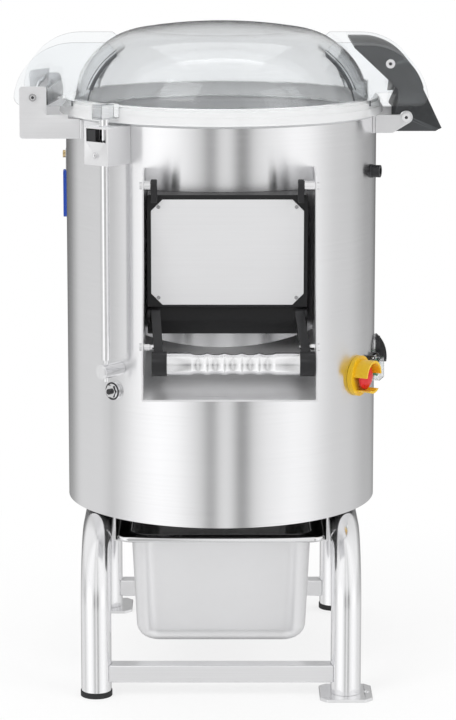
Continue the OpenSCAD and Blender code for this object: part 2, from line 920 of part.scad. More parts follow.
module safety_rod() {
    color(bright) rotate([0, 0, sensor_turn]) translate([0, -drum_r - rod_out, 0]) {
        translate([0, 0, rod_low_z]) cylinder(r = rod_r, h = rod_top_z - rod_low_z - rod_cap_h);
        translate([0, 0, rod_top_z - rod_cap_h - seat]) cylinder(r = rod_cap_r, h = rod_cap_h + seat);
        translate([0, 0, guide_z - guide_r - rod_travel])
            cylinder(r = rod_thin_r, h = rod_low_z - guide_z + guide_r + rod_travel + over);
        translate([0, 0, spring_z + spring_h + seat]) cylinder(r = rod_collar_r, h = rod_collar_h);
    }
}

// A coil of round wire, swept in short steps
module rod_spring() {
    n = spring_turns * spring_steps;
    rise = (spring_h - spring_wire) / n;
    points = [for (i = [0 : n], k = [0 : spring_sides - 1])
        let (turn = 360 * i / spring_steps, lean = 360 * k / spring_sides,
            r = spring_r + spring_wire / 2 * cos(lean))
        [r * cos(turn), r * sin(turn), i * rise + spring_wire / 2 * (1 + sin(lean))]];
    sides = [for (i = [0 : n - 1], k = [0 : spring_sides - 1])
        let (a = i * spring_sides, b = (k + 1) % spring_sides)
        [a + k, a + b, a + spring_sides + b, a + spring_sides + k]];
    first = [[for (k = [0 : spring_sides - 1]) spring_sides - 1 - k]];
    last = [[for (k = [0 : spring_sides - 1]) n * spring_sides + k]];
    color(bright) rotate([0, 0, sensor_turn]) translate([0, -drum_r - rod_out, spring_z])
        polyhedron(points = points, faces = concat(first, sides, last));
}

module lid_actuator() {
    z = rod_top_z + actuator_gap;
    color(clear) difference() {
        rotate([0, 0, sensor_turn]) translate([-actuator_w / 2, -drum_r - actuator_out - flange_over, z])
            cube([actuator_w, actuator_out + 2 * flange_over, actuator_h]);
        cylinder(r = flange_r + seat, h = 2 * drum_top_z);
    }
}

module reset_body() {
    color(bright) difference() {
        union() {
            difference() {
                outward(reset_turn, drum_r - reset_h, reset_z) {
                    cylinder(r = reset_r, h = 2 * reset_h - seat);
                    cylinder(r = reset_nut_r + run, h = 3 * reset_h - seat, $fn = 6);
                }
                drum_space();
            }
            outward(reset_turn, drum_r - reset_depth, reset_z)
                cylinder(r = reset_nut_r - seat, h = reset_depth + reset_h);
        }
        outward(reset_turn, drum_r - reset_depth / 2, reset_z)
            cylinder(r = reset_button_r + run, h = reset_depth);
    }
}

module reset_button() {
    color(black) outward(reset_turn, drum_r - reset_h, reset_z)
        cylinder(r = reset_button_r, h = 3 * reset_h + reset_lift);
}

// A strip welded to the drum between two places along Y, on the side that sign gives
module weld_strip(sign, y0, y1, z0, z1) {
    intersection() {
        translate([0, 0, z0]) ring(drum_r + seat + bracket_plate_t, drum_r + seat, z1 - z0);
        translate([sign > 0 ? 0 : -2 * drum_r, y0, z0]) cube([2 * drum_r, y1 - y0, z1 - z0]);
    }
}

side_low_z = lid_z - side_drop;
side_top_z = lid_z + side_post_h;
side_x = -drum_r - side_out;

module side_bracket() {
    strip_top_z = lid_z - side_step - pass;
    bolt_x = side_x + cross_bolt_in;
    color(steel) {
        difference() {
            for (s = [0, 1]) mirror([0, s, 0]) slab(side_y, side_y + side_t) difference() {
                union() {
                    round_rect(side_x, side_low_z, side_x + side_post_w, side_top_z, side_corner_r);
                    translate([side_x + side_corner_r, side_low_z])
                        square([-side_x - drum_r + side_step_x - side_corner_r, side_rise + side_drop]);
                    translate([side_x + side_corner_r, side_low_z])
                        square([-side_x - drum_r / 2, side_drop - side_step]);
                }
                translate([bolt_x, lid_z + cross_bolt_dz]) circle(r = cross_bolt_r + run);
            }
            drum_space(bracket_plate_t + 2 * seat);
        }
        translate([side_x, -side_y - over, side_low_z + side_corner_r])
            cube([side_t, 2 * side_y + 2 * over, side_web_h - side_corner_r]);
        for (s = [0, 1]) mirror([0, s, 0])
            weld_strip(-1, side_y - side_t, side_y + 2 * side_t, side_low_z, strip_top_z);
    }
}

module side_bolt() {
    bolt_l = 2 * side_y + 2 * side_t;
    color(bright) translate([side_x + cross_bolt_in, 0, lid_z + cross_bolt_dz]) rotate([-90, 0, 0]) {
        translate([0, 0, -bolt_l / 2 - over])
            cylinder(r = cross_bolt_r, h = bolt_l + cross_head_h + 2 * over);
        translate([0, 0, -bolt_l / 2 - cross_head_h - seat]) cylinder(r = cross_head_r, h = cross_head_h);
        translate([0, 0, bolt_l / 2 + seat]) cylinder(r = cross_nut_r, h = cross_head_h, $fn = 6);
    }
}

module hinge_bracket() {
    low = hinge_z - bracket_low;
    color(steel) {
        difference() {
            for (s = [0, 1]) mirror([0, s, 0]) slab(bracket_y, bracket_y + bracket_t) difference() {
                union() {
                    translate([hinge_x, hinge_z]) circle(r = bracket_end_r);
                    polygon([[drum_r / 2, low], [hinge_x - bracket_end_r - bracket_end_r, low],
                        [hinge_x + bracket_end_r * cos(bracket_lean),
                            hinge_z - bracket_end_r * sin(bracket_lean)],
                        [hinge_x, hinge_z], [hinge_x - bracket_end_r, lid_z - bracket_top_gap],
                        [drum_r / 2, lid_z - bracket_top_gap]]);
                }
                translate([hinge_x, hinge_z]) circle(r = hinge_pin_r + run);
            }
            drum_space(bracket_plate_t + 2 * seat);
        }
        weld_strip(1, -bracket_y - 2 * bracket_t, bracket_y + 2 * bracket_t, low, lid_z - bracket_top_gap);
    }
}

module hinge_pin() {
    length = 2 * bracket_y + 2 * bracket_t + 2 * pin_over;
    color(bright) translate([hinge_x, 0, hinge_z]) rotate([90, 0, 0]) {
        translate([0, 0, -length / 2]) cylinder(r = hinge_pin_r, h = length);
        for (s = [0, 1]) mirror([0, 0, s])
            translate([0, 0, bracket_y + bracket_t + seat]) cylinder(r = pin_head_r, h = pin_over);
    }
}

module cable_gland() {
    color(black) difference() {
        union() {
            difference() {
                outward(gland_turn, drum_r - gland_foot_h, gland_z) {
                    cylinder(r = gland_foot_r, h = 2 * gland_foot_h);
                    cylinder(r = gland_r, h = gland_foot_h + gland_out);
                }
                drum_space();
            }
            outward(gland_turn, drum_r - gland_in, gland_z)
                cylinder(r = gland_thread_r, h = gland_in + gland_foot_h);
            outward(gland_turn, drum_r - 2 * drum_wall - nut_h, gland_z)
                cylinder(r = gland_nut_r, h = nut_h, $fn = 6);
        }
        outward(gland_turn, drum_r - 2 * gland_in, gland_z)
            cylinder(r = gland_bore_r, h = 3 * gland_in + gland_out);
    }
}

module stop_guard() {
    color([0.93, 0.78, 0.05]) difference() {
        union() {
            difference() {
                outward(stop_turn, drum_r - stop_base_h, stop_z) {
                    cylinder(r = stop_base_r, h = 2 * stop_base_h);
                    difference() {
                        ring(stop_collar_r, stop_collar_r - stop_collar_t, 2 * stop_base_h + stop_collar_h);
                        translate([-stop_collar_r - over, stop_gap_y - stop_gap_w / 2, 2 * stop_base_h])
                            cube([2 * stop_collar_r + 2 * over, stop_gap_w, 2 * stop_collar_h]);
                    }
                }
                drum_space();
            }
            outward(stop_turn, drum_r - stop_depth, stop_z)
                cylinder(r = stop_barrel_r, h = stop_depth + stop_base_h / 2);
            outward(stop_turn, drum_r - 2 * drum_wall - nut_h, stop_z) cylinder(r = nut_r, h = nut_h, $fn = 6);
        }
        outward(stop_turn, drum_r - stop_depth / 2, stop_z) cylinder(r = stop_stem_r + run, h = stop_depth);
    }
}

module stop_button() {
    z = stop_base_h + stop_head_lift;
    color([0.8, 0.06, 0.07]) outward(stop_turn, drum_r, stop_z) {
        translate([0, 0, -stop_depth / 4]) cylinder(r = stop_stem_r, h = stop_depth / 4 + z + over);
        intersection() {
            translate([0, 0, z]) cylinder(r = stop_head_r, h = stop_head_h + over);
            translate([0, 0, z + stop_head_h - stop_crown_r]) sphere(r = stop_crown_r);
        }
    }
}

start_half = start_size / 2;

module start_bezel() {
    color(black) difference() {
        union() {
            difference() {
                outward(start_turn, drum_r - start_base_h, start_z) {
                    linear_extrude(2 * start_base_h) round_rect(-start_half, -start_half, start_half,
                        start_half + 4 * cover_pin_r, cover_pin_r);
                    cylinder(r = start_button_r + start_ring_w, h = start_base_h + start_ring_h);
                }
                drum_space();
            }
            outward(start_turn, drum_r - start_depth, start_z)
                cylinder(r = start_barrel_r, h = start_depth + start_base_h / 2);
            outward(start_turn, drum_r - 2 * drum_wall - nut_h, start_z)
                cylinder(r = start_nut_r, h = nut_h, $fn = 6);
            outward(start_turn, drum_r, start_z) for (x = [-1, 1])
                translate([x * cover_lug_x - cover_lug_t / 2, 0, 0]) rotate([90, 0, 90])
                    linear_extrude(cover_lug_t) {
                        translate([cover_pin_y, cover_pin_z]) circle(r = cover_lug_r);
                        polygon([[cover_pin_y - over, start_base_h / 2],
                            [cover_pin_y + cover_lug_r, start_base_h / 2],
                            [cover_pin_y + cover_lug_r, cover_pin_z], [cover_pin_y - over, cover_pin_z]]);
                    }
        }
        outward(start_turn, drum_r - start_depth / 2, start_z)
            cylinder(r = start_bore_r + run, h = start_depth);
        outward(start_turn, drum_r + start_base_h, start_z)
            cylinder(r = start_button_r + run, h = start_depth);
        outward(start_turn, drum_r, start_z) translate([-start_size, cover_pin_y, cover_pin_z])
            rotate([0, 90, 0]) cylinder(r = cover_pin_r + run, h = 2 * start_size);
    }
}

module start_button() {
    color([0.1, 0.5, 0.2]) outward(start_turn, drum_r, start_z) {
        translate([0, 0, start_base_h + start_travel + seat])
            cylinder(r = start_button_r, h = start_base_h + start_lift - start_travel);
        translate([0, 0, -start_depth / 4])
            cylinder(r = start_bore_r, h = start_depth / 4 + start_base_h + start_travel + over);
    }
}

module start_cover() {
    low = start_base_h + seat;
    y0 = -start_half - over;
    y1 = start_half + seat;
    color(clear) outward(start_turn, drum_r, start_z) {
        difference() {
            translate([-start_half - over, y0, low]) cube([start_size + 2 * over, y1 - y0, cover_h]);
            translate([-start_half - over + cover_t, y0 + cover_t, low - over])
                cube([start_size + 2 * over - 2 * cover_t, y1 - y0 - 2 * cover_t, cover_h - cover_t + over]);
        }
        translate([-cover_lug_x - cover_lug_t / 2, cover_pin_y, cover_pin_z]) rotate([0, 90, 0])
            cylinder(r = cover_pin_r, h = 2 * cover_lug_x + cover_lug_t);
        translate([-cover_lug_x + cover_lug_t, y1 - cover_t / 2, cover_pin_z - cover_pin_r / 2])
            cube([2 * cover_lug_x - 2 * cover_lug_t, cover_pin_y - y1 + cover_t / 2, cover_pin_r]);
    }
}

module timer_body() {
    color(steel) difference() {
        union() {
            difference() {
                outward(timer_turn, drum_r - timer_base_h, timer_z)
                    cylinder(r = timer_base_r, h = 2 * timer_base_h);
                drum_space();
            }
            outward(timer_turn, drum_r - 2 * drum_wall - over, timer_z)
                cylinder(r = 3 * timer_stem_r - seat, h = 3 * timer_base_h);
            outward(timer_turn, drum_r - timer_depth, timer_z)
                translate([-timer_body_w / 2, -timer_body_w / 2, 0])
                    cube([timer_body_w, timer_body_w, timer_depth - 2 * drum_wall]);
        }
        outward(timer_turn, drum_r - timer_depth / 2, timer_z)
            cylinder(r = timer_stem_r + run, h = timer_depth);
    }
}

// The grip's back is an arc that falls towards the pointer
module timer_knob() {
    z = timer_base_h + 2 * seat;
    color(black) outward(timer_turn, drum_r, timer_z) {
        translate([0, 0, z]) cylinder(r = knob_r, h = knob_skirt_h);
        translate([0, 0, z]) cylinder(r = knob_r - knob_low_in, h = knob_low_h);
        intersection() {
            translate([0, 0, z]) cylinder(r = knob_r, h = knob_r);
            translate([-knob_grip_w / 2, 0, 0]) rotate([90, 0, 90]) linear_extrude(knob_grip_w)
                translate([knob_arc_y, knob_arc_z]) circle(r = knob_arc_r);
        }
        translate([0, 0, -timer_depth / 4]) cylinder(r = timer_stem_r, h = timer_depth / 4 + z + over);
    }
}

// A ball valve over an elbow, whose thread looks to the rear
module water_valve() {
    low_z = valve_z - valve_h / 2;
    elbow_z = low_z - valve_hex_h - valve_elbow_h / 2;
    color([0.75, 0.62, 0.35]) translate([valve_x, valve_y, 0]) difference() {
        union() {
            translate([0, 0, low_z]) cylinder(r = valve_r, h = valve_h);
            for (z = [low_z - valve_hex_h, low_z + valve_h])
                translate([0, 0, z]) cylinder(r = valve_hex_r, h = valve_hex_h, $fn = 6);
            translate([0, 0, elbow_z - valve_elbow_h / 2]) cylinder(r = valve_r, h = valve_elbow_h + over);
            translate([0, 0, elbow_z]) rotate([-90, 0, 0]) {
                cylinder(r = valve_collar_r, h = valve_r);
                cylinder(r = valve_stub_r, h = valve_r + valve_stub_h);
            }
            translate([0, 0, valve_z]) rotate([0, -90, 0]) {
                cylinder(r = valve_stem_r, h = valve_stem_out + handle_strip_t + pass);
                cylinder(r = 2 * valve_stem_r, h = valve_stem_out - handle_strip_t - pass);
            }
        }
        translate([0, 0, elbow_z]) {
            cylinder(r = valve_bore_r, h = 2 * valve_h);
            rotate([-90, 0, 0]) cylinder(r = valve_bore_r, h = valve_r + 2 * valve_stub_h);
        }
    }
}

module valve_lever() {
    strip_h = sleeve_dz + sleeve_h - handle_strip_t;
    x = valve_x - valve_stem_out + handle_strip_t;
    color(steel) translate([x, valve_y, valve_z]) rotate([0, -90, 0]) {
        difference() {
            union() {
                cylinder(r = handle_strip_w / 2, h = handle_strip_t);
                translate([-strip_h, -handle_strip_w / 2 + handle_strip_t / 2, 0])
                    cube([strip_h, handle_strip_w - handle_strip_t, handle_strip_t]);
            }
            translate([0, 0, -over]) cylinder(r = valve_stem_r + run, h = handle_strip_t + 2 * over);
        }
    }
}

module valve_sleeve() {
    x = valve_x - valve_stem_out + handle_strip_t / 2;
    gap = handle_strip_t / 2 + seat;
    color([0.1, 0.35, 0.75]) difference() {
        side_slab(x - sleeve_t / 2, x + sleeve_t / 2)
            round_rect(valve_y - sleeve_w / 2, valve_z - sleeve_dz - sleeve_h, valve_y + sleeve_w / 2,
                valve_z - sleeve_dz, sleeve_w / 4);
        translate([x - gap, valve_y - handle_strip_w / 2 + gap - 2 * seat,
            valve_z - sleeve_dz - sleeve_h + 2 * seat])
            cube([2 * gap, handle_strip_w - 2 * gap + 4 * seat, sleeve_h]);
    }
}

// The line of the bent water pipe, of radius r
module pipe_line(r, extra) {
    translate([0, -valve_out, valve_top_z + seat - extra]) cylinder(r = r, h = pipe_rise + extra);
    translate([0, -valve_out + pipe_bend_r, valve_top_z + seat + pipe_rise]) rotate([90, 0, -90])
        rotate_extrude(angle = 90) translate([pipe_bend_r, 0]) circle(r = r);
    translate([0, -valve_out + pipe_bend_r, pipe_z + seat]) rotate([-90, 0, 0])
        cylinder(r = r, h = valve_out - pipe_bend_r - drum_r + nozzle_in + extra);
}

module water_pipe() {
    color(bright) rotate([0, 0, pipe_turn]) difference() {
        union() {
            pipe_line(pipe_r - seat, 0);
            translate([0, -drum_r + nozzle_in, pipe_z + seat]) rotate([-90, 0, 0])
                cylinder(r = nozzle_r, h = nozzle_h);
        }
        pipe_line(pipe_r - pipe_wall - seat, over + nozzle_h);
    }
}

module motor() {
    color([0.35, 0.42, 0.5]) translate([0, motor_y, 0]) difference() {
        union() {
            translate([0, 0, motor_top_z - motor_flange_h]) cylinder(r = motor_flange_r, h = motor_flange_h);
            translate([0, 0, motor_low_z]) cylinder(r = motor_r, h = motor_h + over);
        }
        for (k = [1 : fin_count])
            translate([0, 0, motor_low_z + k * motor_h / (fin_count + 1) - fin_h / 2])
                ring(motor_r + over, motor_r - fin_depth, fin_h);
        translate([0, 0, motor_low_z - over]) cylinder(r = motor_shaft_r + run, h = motor_shaft_in + over);
    }
}

// A pulley with a plain groove between two rims
module pulley(groove_r, bore_r) {
    translate([0, 0, pulley_z]) difference() {
        union() {
            cylinder(r = groove_r, h = pulley_h);
            for (z = [0, pulley_h - pulley_rim]) translate([0, 0, z])
                cylinder(r = groove_r + pulley_rim_over, h = pulley_rim);
        }
        translate([0, 0, -over]) cylinder(r = bore_r, h = pulley_h + 2 * over);
    }
}

module motor_pulley() {
    color(steel) translate([0, motor_y, 0]) {
        pulley(small_groove_r, motor_shaft_r - seat);
        translate([0, 0, pulley_z - over])
            cylinder(r = motor_shaft_r, h = motor_low_z + motor_shaft_in - pulley_z + over - pass);
    }
}

module driven_pulley() {
    color([0.4, 0.41, 0.43]) difference() {
        pulley(big_groove_r, shaft_r + seat / 2);
        for (k = [0 : 5]) rotate([0, 0, 60 * k]) translate([(big_groove_r + shaft_r) / 2, 0, pulley_z - over])
            cylinder(r = shaft_r, h = pulley_h + 2 * over);
    }
}

// The belt's outline in plan, grown by g past the grooves
module belt_loop(g) {
    share = (big_groove_r - small_groove_r) / motor_y;
    side = sqrt(1 - share * share);
    a = big_groove_r + g;
    b = small_groove_r + g;
    circle(r = a);
    translate([0, motor_y]) circle(r = b);
    polygon([[-a * side, a * share], [-b * side, motor_y + b * share],
        [b * side, motor_y + b * share], [a * side, a * share]]);
}

module drive_belt() {
    translate([0, 0, pulley_z + pulley_rim + belt_gap]) color(rubber)
        linear_extrude(pulley_h - 2 * pulley_rim - 2 * belt_gap) difference() {
            belt_loop(belt_gap + belt_t);
            belt_loop(belt_gap);
        }
}

housing_top_z = floor_z + plate_t + housing_flange_h;
housing_low_z = floor_z - housing_h;

module bearing_housing() {
    color([0.5, 0.51, 0.53]) difference() {
        union() {
            translate([0, 0, housing_low_z]) cylinder(r = housing_r, h = housing_top_z - housing_low_z);
            translate([0, 0, floor_z - seat - housing_flange_h])
                cylinder(r = housing_flange_r, h = housing_flange_h);
        }
        translate([0, 0, housing_low_z - over])
            cylinder(r = housing_core_r, h = housing_top_z - housing_low_z + 2 * over);
        for (z = [housing_low_z - over, housing_top_z - bearing_h])
            translate([0, 0, z]) cylinder(r = bearing_r + seat, h = bearing_h + over);
    }
}

module shaft_bearings() {
    color(bright) for (z = [housing_low_z, housing_top_z - bearing_h + seat])
        translate([0, 0, z]) ring(bearing_r, shaft_r + run, bearing_h - seat);
}

module drive_shaft() {
    color(steel) translate([0, 0, pulley_z - pulley_rim])
        cylinder(r = shaft_r, h = disc_z + disc_t + disc_hub_h / 2 - pulley_z + pulley_rim);
}

module peeling_disc() {
    rho = (ridge_w * ridge_w / 4 + ridge_h * ridge_h) / 2 / ridge_h;
    color([0.33, 0.32, 0.3]) difference() {
        union() {
            translate([0, 0, disc_z]) cylinder(r = disc_r, h = disc_t);
            translate([0, 0, disc_z]) cylinder(r = disc_hub_r, h = disc_t + disc_hub_h);
            intersection() {
                translate([0, 0, disc_z]) cylinder(r = disc_r, h = disc_t + ridge_h);
                for (k = [0 : ridge_count - 1]) rotate([0, 0, 360 * k / ridge_count])
                    translate([0, ridge_in, disc_z + disc_t + ridge_h - rho]) rotate([-90, 0, 0])
                        cylinder(r = rho, h = disc_r);
            }
        }
        translate([0, 0, disc_z - over])
            cylinder(r = shaft_r + seat / 2, h = disc_t + disc_hub_h / 2 + over + seat);
    }
}

module drain_pipe() {
    color(steel) translate([drain_x, drain_y, drum_base_z - drain_below])
        ring(drain_r, drain_r - drain_t, floor_z + plate_t - drum_base_z + drain_below);
}

module electrical_box() {
    z = drum_base_z + plate_t + seat;
    color([0.75, 0.76, 0.77]) {
        translate([ebox_x - ebox_l / 2, -ebox_w / 2, z]) cube([ebox_l, ebox_w, ebox_h]);
        for (y = [-1, 1]) translate([ebox_x - ebox_l / 2, y * ebox_w / 3, z + ebox_h / 2]) rotate([0, -90, 0])
            cylinder(r = gland_r, h = gland_r);
    }
}

module rim_gasket() {
    color(rubber) translate([0, 0, drum_top_z + seat]) ring(drum_r, drum_r - gasket_w, gasket_h);
}

shoulder_x = dome_r - shoulder_r;
crown_z = lid_z + dome_base - sqrt(pow(crown_r - shoulder_r, 2) - pow(shoulder_x, 2));

// Half of the dome's filled section, grown by g
module dome_section(g) {
    tangent_x = (crown_r + g) * shoulder_x / (crown_r - shoulder_r);
    low = lid_z + flange_h - over;
    intersection() {
        translate([0, crown_z]) circle(r = crown_r + g, $fn = 360);
        translate([0, low]) square([tangent_x, drum_r]);
    }
    intersection() {
        translate([shoulder_x, lid_z + dome_base]) circle(r = shoulder_r + g);
        translate([0, low]) square([drum_d, drum_r]);
    }
}

// The space that the closed lid's dome and flange fill, grown by g
module lid_space(g) {
    rotate_extrude() dome_section(g);
    translate([0, 0, lid_z - drum_h]) cylinder(r = flange_r + g, h = drum_h + flange_h + g);
}

module lid_dome() {
    step = groove_h;
    color(clear) rotate_extrude() {
        difference() {
            dome_section(0);
            dome_section(-dome_wall);
        }
        difference() {
            translate([flange_in_r, lid_z]) square([flange_r - flange_in_r, flange_h]);
            translate([flange_r - groove_d / 2, lid_z + groove_z + step]) square([groove_d, flange_h]);
            translate([flange_r - 2 * groove_d, lid_z + flange_h - flange_step])
                square([3 * groove_d, flange_h]);
        }
    }
}

// An ear plate of the right side, in X and Z
module ear_shape() {
    corner_z = ear_bottom_z + ear_corner_r;
    corner_x = ear_arc_x + sqrt(pow(ear_arc_r, 2) - pow(corner_z - ear_arc_z, 2)) - ear_corner_r;
    intersection() {
        translate([ear_arc_x, ear_arc_z]) circle(r = ear_arc_r);
        translate([ear_arc_x, corner_z]) square([ear_arc_r, ear_arc_r]);
    }
    translate([corner_x, corner_z]) circle(r = ear_corner_r);
    polygon([[ear_tip_x, ear_top_z - ear_tip_dz], [ear_tip_x + ear_tip_dx, ear_top_z],
        [ear_arc_x, ear_top_z], [ear_arc_x, corner_z], [corner_x + ear_corner_r, corner_z],
        [corner_x, ear_bottom_z], [ear_tip_x, ear_bottom_z]]);
}

module lid_ears() {
    color(clear) {
        difference() {
            for (s = [0, 1], m = [0, 1]) mirror([m, 0, 0]) mirror([0, s, 0])
                slab(ear_y - ear_t / 2, ear_y + ear_t / 2) ear_shape();
            lid_space(seat);
            for (s = [-1, 1]) translate([arm_bolt_x, s * ear_y - ear_t, lid_z + arm_bolt_dz])
                rotate([-90, 0, 0]) cylinder(r = arm_bolt_r + run, h = 2 * ear_t);
            slab(-ear_side - over, ear_side + over) {
                translate([side_x + cross_bolt_in, lid_z + cross_bolt_dz])
                    circle(r = cross_bolt_r + slot_gap);
                polygon([[side_x + cross_bolt_in - cross_bolt_r - slot_gap, lid_z + cross_bolt_dz],
                    [side_x + cross_bolt_in + cross_bolt_r + slot_gap, lid_z + cross_bolt_dz],
                    [side_x + cross_bolt_in + cross_bolt_r + 2 * slot_gap, lid_z],
                    [side_x + cross_bolt_in - cross_bolt_r - slot_w, lid_z]]);
            }
        }
        intersection() {
            difference() {
                lid_space(seat + strip_t);
                lid_space(seat);
            }
            for (s = [0, 1], m = [0, 1]) mirror([m, 0, 0]) mirror([0, s, 0])
                translate([ear_tip_x, ear_y - strip_w / 2, lid_z + 2 * web_h])
                    cube([ear_arc_r, strip_w, ear_h - 2 * web_h - ear_tip_dz]);
        }
        translate([-flange_r - web_out - web_t, -ear_y, ear_bottom_z + over]) cube([web_t, 2 * ear_y, web_h]);
    }
}

arm_top_z = ear_arc_z + arm_r;
tail_x = drum_r + tail_out;
tail_z = lid_z - tail_drop;
arm_tail_z = lid_z + tail_top_dz;
arm_tail_x = ear_arc_x + sqrt(arm_r * arm_r - pow(arm_tail_z - ear_arc_z, 2));
arm_tail_turn = atan2(arm_tail_z - ear_arc_z, arm_tail_x - ear_arc_x);
tail_lean = atan2(arm_tail_z - tail_z, tail_x - arm_tail_x);

// The arm's curved sheet seen along Y
module arm_sheet() {
    far = 2 * arm_r;
    difference() {
        intersection() {
            translate([ear_arc_x, ear_arc_z]) circle(r = arm_r);
            translate([ear_arc_x, ear_arc_z])
                polygon([[0, 0], [far * cos(arm_tail_turn), far * sin(arm_tail_turn)], [far, far], [0, far]]);
        }
        translate([ear_arc_x, ear_arc_z]) circle(r = arm_r - arm_t);
    }
    translate([arm_start_x, arm_top_z - arm_t]) square([ear_arc_x - arm_start_x + seat, arm_t]);
}

// The tail's sheet seen along Y
module tail_sheet() {
    translate([arm_tail_x, arm_tail_z]) rotate(-tail_lean) translate([-over, -arm_t])
        square([norm([tail_x - arm_tail_x, arm_tail_z - tail_z]) + over, arm_t]);
}

module lid_hinge_arm() {
    color(dark) difference() {
        union() {
            slab(-arm_side, arm_side) arm_sheet();
            slab(-knuckle_y, knuckle_y) tail_sheet();
            for (s = [0, 1]) mirror([0, s, 0]) {
                slab(arm_side - arm_t, arm_side) intersection() {
                    union() {
                        translate([ear_arc_x, ear_arc_z]) circle(r = arm_r - over);
                        translate([arm_start_x, ear_arc_z]) square([ear_arc_x - arm_start_x, arm_r - over]);
                    }
                    polygon([[arm_start_x, arm_top_z], [arm_start_x, arm_top_z - arm_t],
                        [arm_low_x, lid_z + arm_low_dz], [arm_low_x, lid_z + arm_foot_dz],
                        [tail_x, lid_z + arm_foot_dz], [tail_x, arm_top_z]]);
                }
                slab(knuckle_y - arm_t, knuckle_y) polygon([
                    [arm_tail_x - over, arm_tail_z - over], [tail_x - over, tail_z],
                    [tail_x - tail_low / 3, lid_z - tail_low], [hinge_x - knuckle_back, lid_z - tail_low],
                    [hinge_x - knuckle_back, hinge_z + knuckle_back],
                    [arm_tail_x - tail_low, arm_tail_z - over]]);
            }
        }
        translate([hinge_x, -drum_r, hinge_z]) rotate([-90, 0, 0])
            cylinder(r = hinge_pin_r + run, h = drum_d);
        for (s = [-1, 1]) translate([arm_bolt_x, s * arm_side, lid_z + arm_bolt_dz]) rotate([90, 0, 0])
            cylinder(r = arm_bolt_r + run, h = 4 * arm_t, center = true);
    }
}

module lid_bolts() {
    color(bright) for (s = [0, 1]) mirror([0, s, 0])
        translate([arm_bolt_x, 0, lid_z + arm_bolt_dz]) rotate([-90, 0, 0]) {
            translate([0, 0, arm_side - arm_t - arm_nut_h - over])
                cylinder(r = arm_bolt_r, h = ear_side - arm_side + arm_t + arm_nut_h + 2 * over);
            translate([0, 0, ear_side + seat]) cylinder(r = arm_bolt_head_r, h = arm_bolt_head_h);
            translate([0, 0, arm_side - arm_t - seat - arm_nut_h])
                cylinder(r = arm_bolt_head_r, h = arm_nut_h, $fn = 6);
        }
}

// The pan's filled tub, shrunk by g at its walls, between two heights
module pan_tub(g, z0, z1) {
    x = pan_w / 2 - pan_lip - pan_corner_r;
    y = pan_l / 2 - pan_lip - pan_corner_r;
    r1 = pan_corner_r - pan_taper - g;
    r2 = pan_corner_r - g;
    for (sx = [-1, 1], sy = [-1, 1]) translate([sx * x, sy * y, z0]) cylinder(r1 = r1, r2 = r2, h = z1 - z0);
    slab(-y, y) polygon([[-x - r1, z0], [x + r1, z0], [x + r2, z1], [-x - r2, z1]]);
    side_slab(-x, x) polygon([[-y - r1, z0], [y + r1, z0], [y + r2, z1], [-y - r2, z1]]);
}

module waste_pan() {
    color(bright) difference() {
        union() {
            pan_tub(0, pan_top_z - pan_depth, pan_top_z);
            translate([0, 0, pan_top_z - pan_t]) linear_extrude(pan_t)
                round_rect(-pan_w / 2, -pan_l / 2, pan_w / 2, pan_l / 2, pan_corner_r / 2);
            translate([0, 0, pan_top_z - pan_fold]) linear_extrude(pan_fold) difference() {
                round_rect(-pan_w / 2, -pan_l / 2, pan_w / 2, pan_l / 2, pan_corner_r / 2);
                round_rect(-pan_w / 2 + pan_t, -pan_l / 2 + pan_t, pan_w / 2 - pan_t, pan_l / 2 - pan_t,
                    pan_corner_r / 2 - pan_t);
            }
        }
        pan_tub(pan_t, pan_top_z - pan_depth + pan_t, pan_top_z + over);
    }
}

outer_drum();
bottom_plate();
chamber_floor();
wall_lining();
left_leg_tube();
right_leg_tube();
cross_bars();
rubber_feet();
floor_plates();
pan_guides();
discharge_chute();
door_pins();
pin_spacers();
sensor_box();
box_screw();
lid_switch();
rod_guide();
reset_body();
side_bracket();
side_bolt();
hinge_bracket();
hinge_pin();
cable_gland();
stop_guard();
start_bezel();
timer_body();
water_valve();
water_pipe();
motor();
motor_pulley();
bearing_housing();
shaft_bearings();
drive_belt();
drain_pipe();
electrical_box();
rim_gasket();
lid_dome();
lid_ears();
lid_hinge_arm();
lid_bolts();
lid_actuator();
door_frame();
label_plate();
label_rivets();
door_gasket();
lever_arms();
lever_handle();
safety_rod();
rod_spring();
stop_button();
start_button();
start_cover();
reset_button();
timer_knob();
valve_lever();
valve_sleeve();
waste_pan();
peeling_disc();
drive_shaft();
driven_pulley();
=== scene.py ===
import json
import math

import bmesh
import bpy
from mathutils import Matrix, Vector

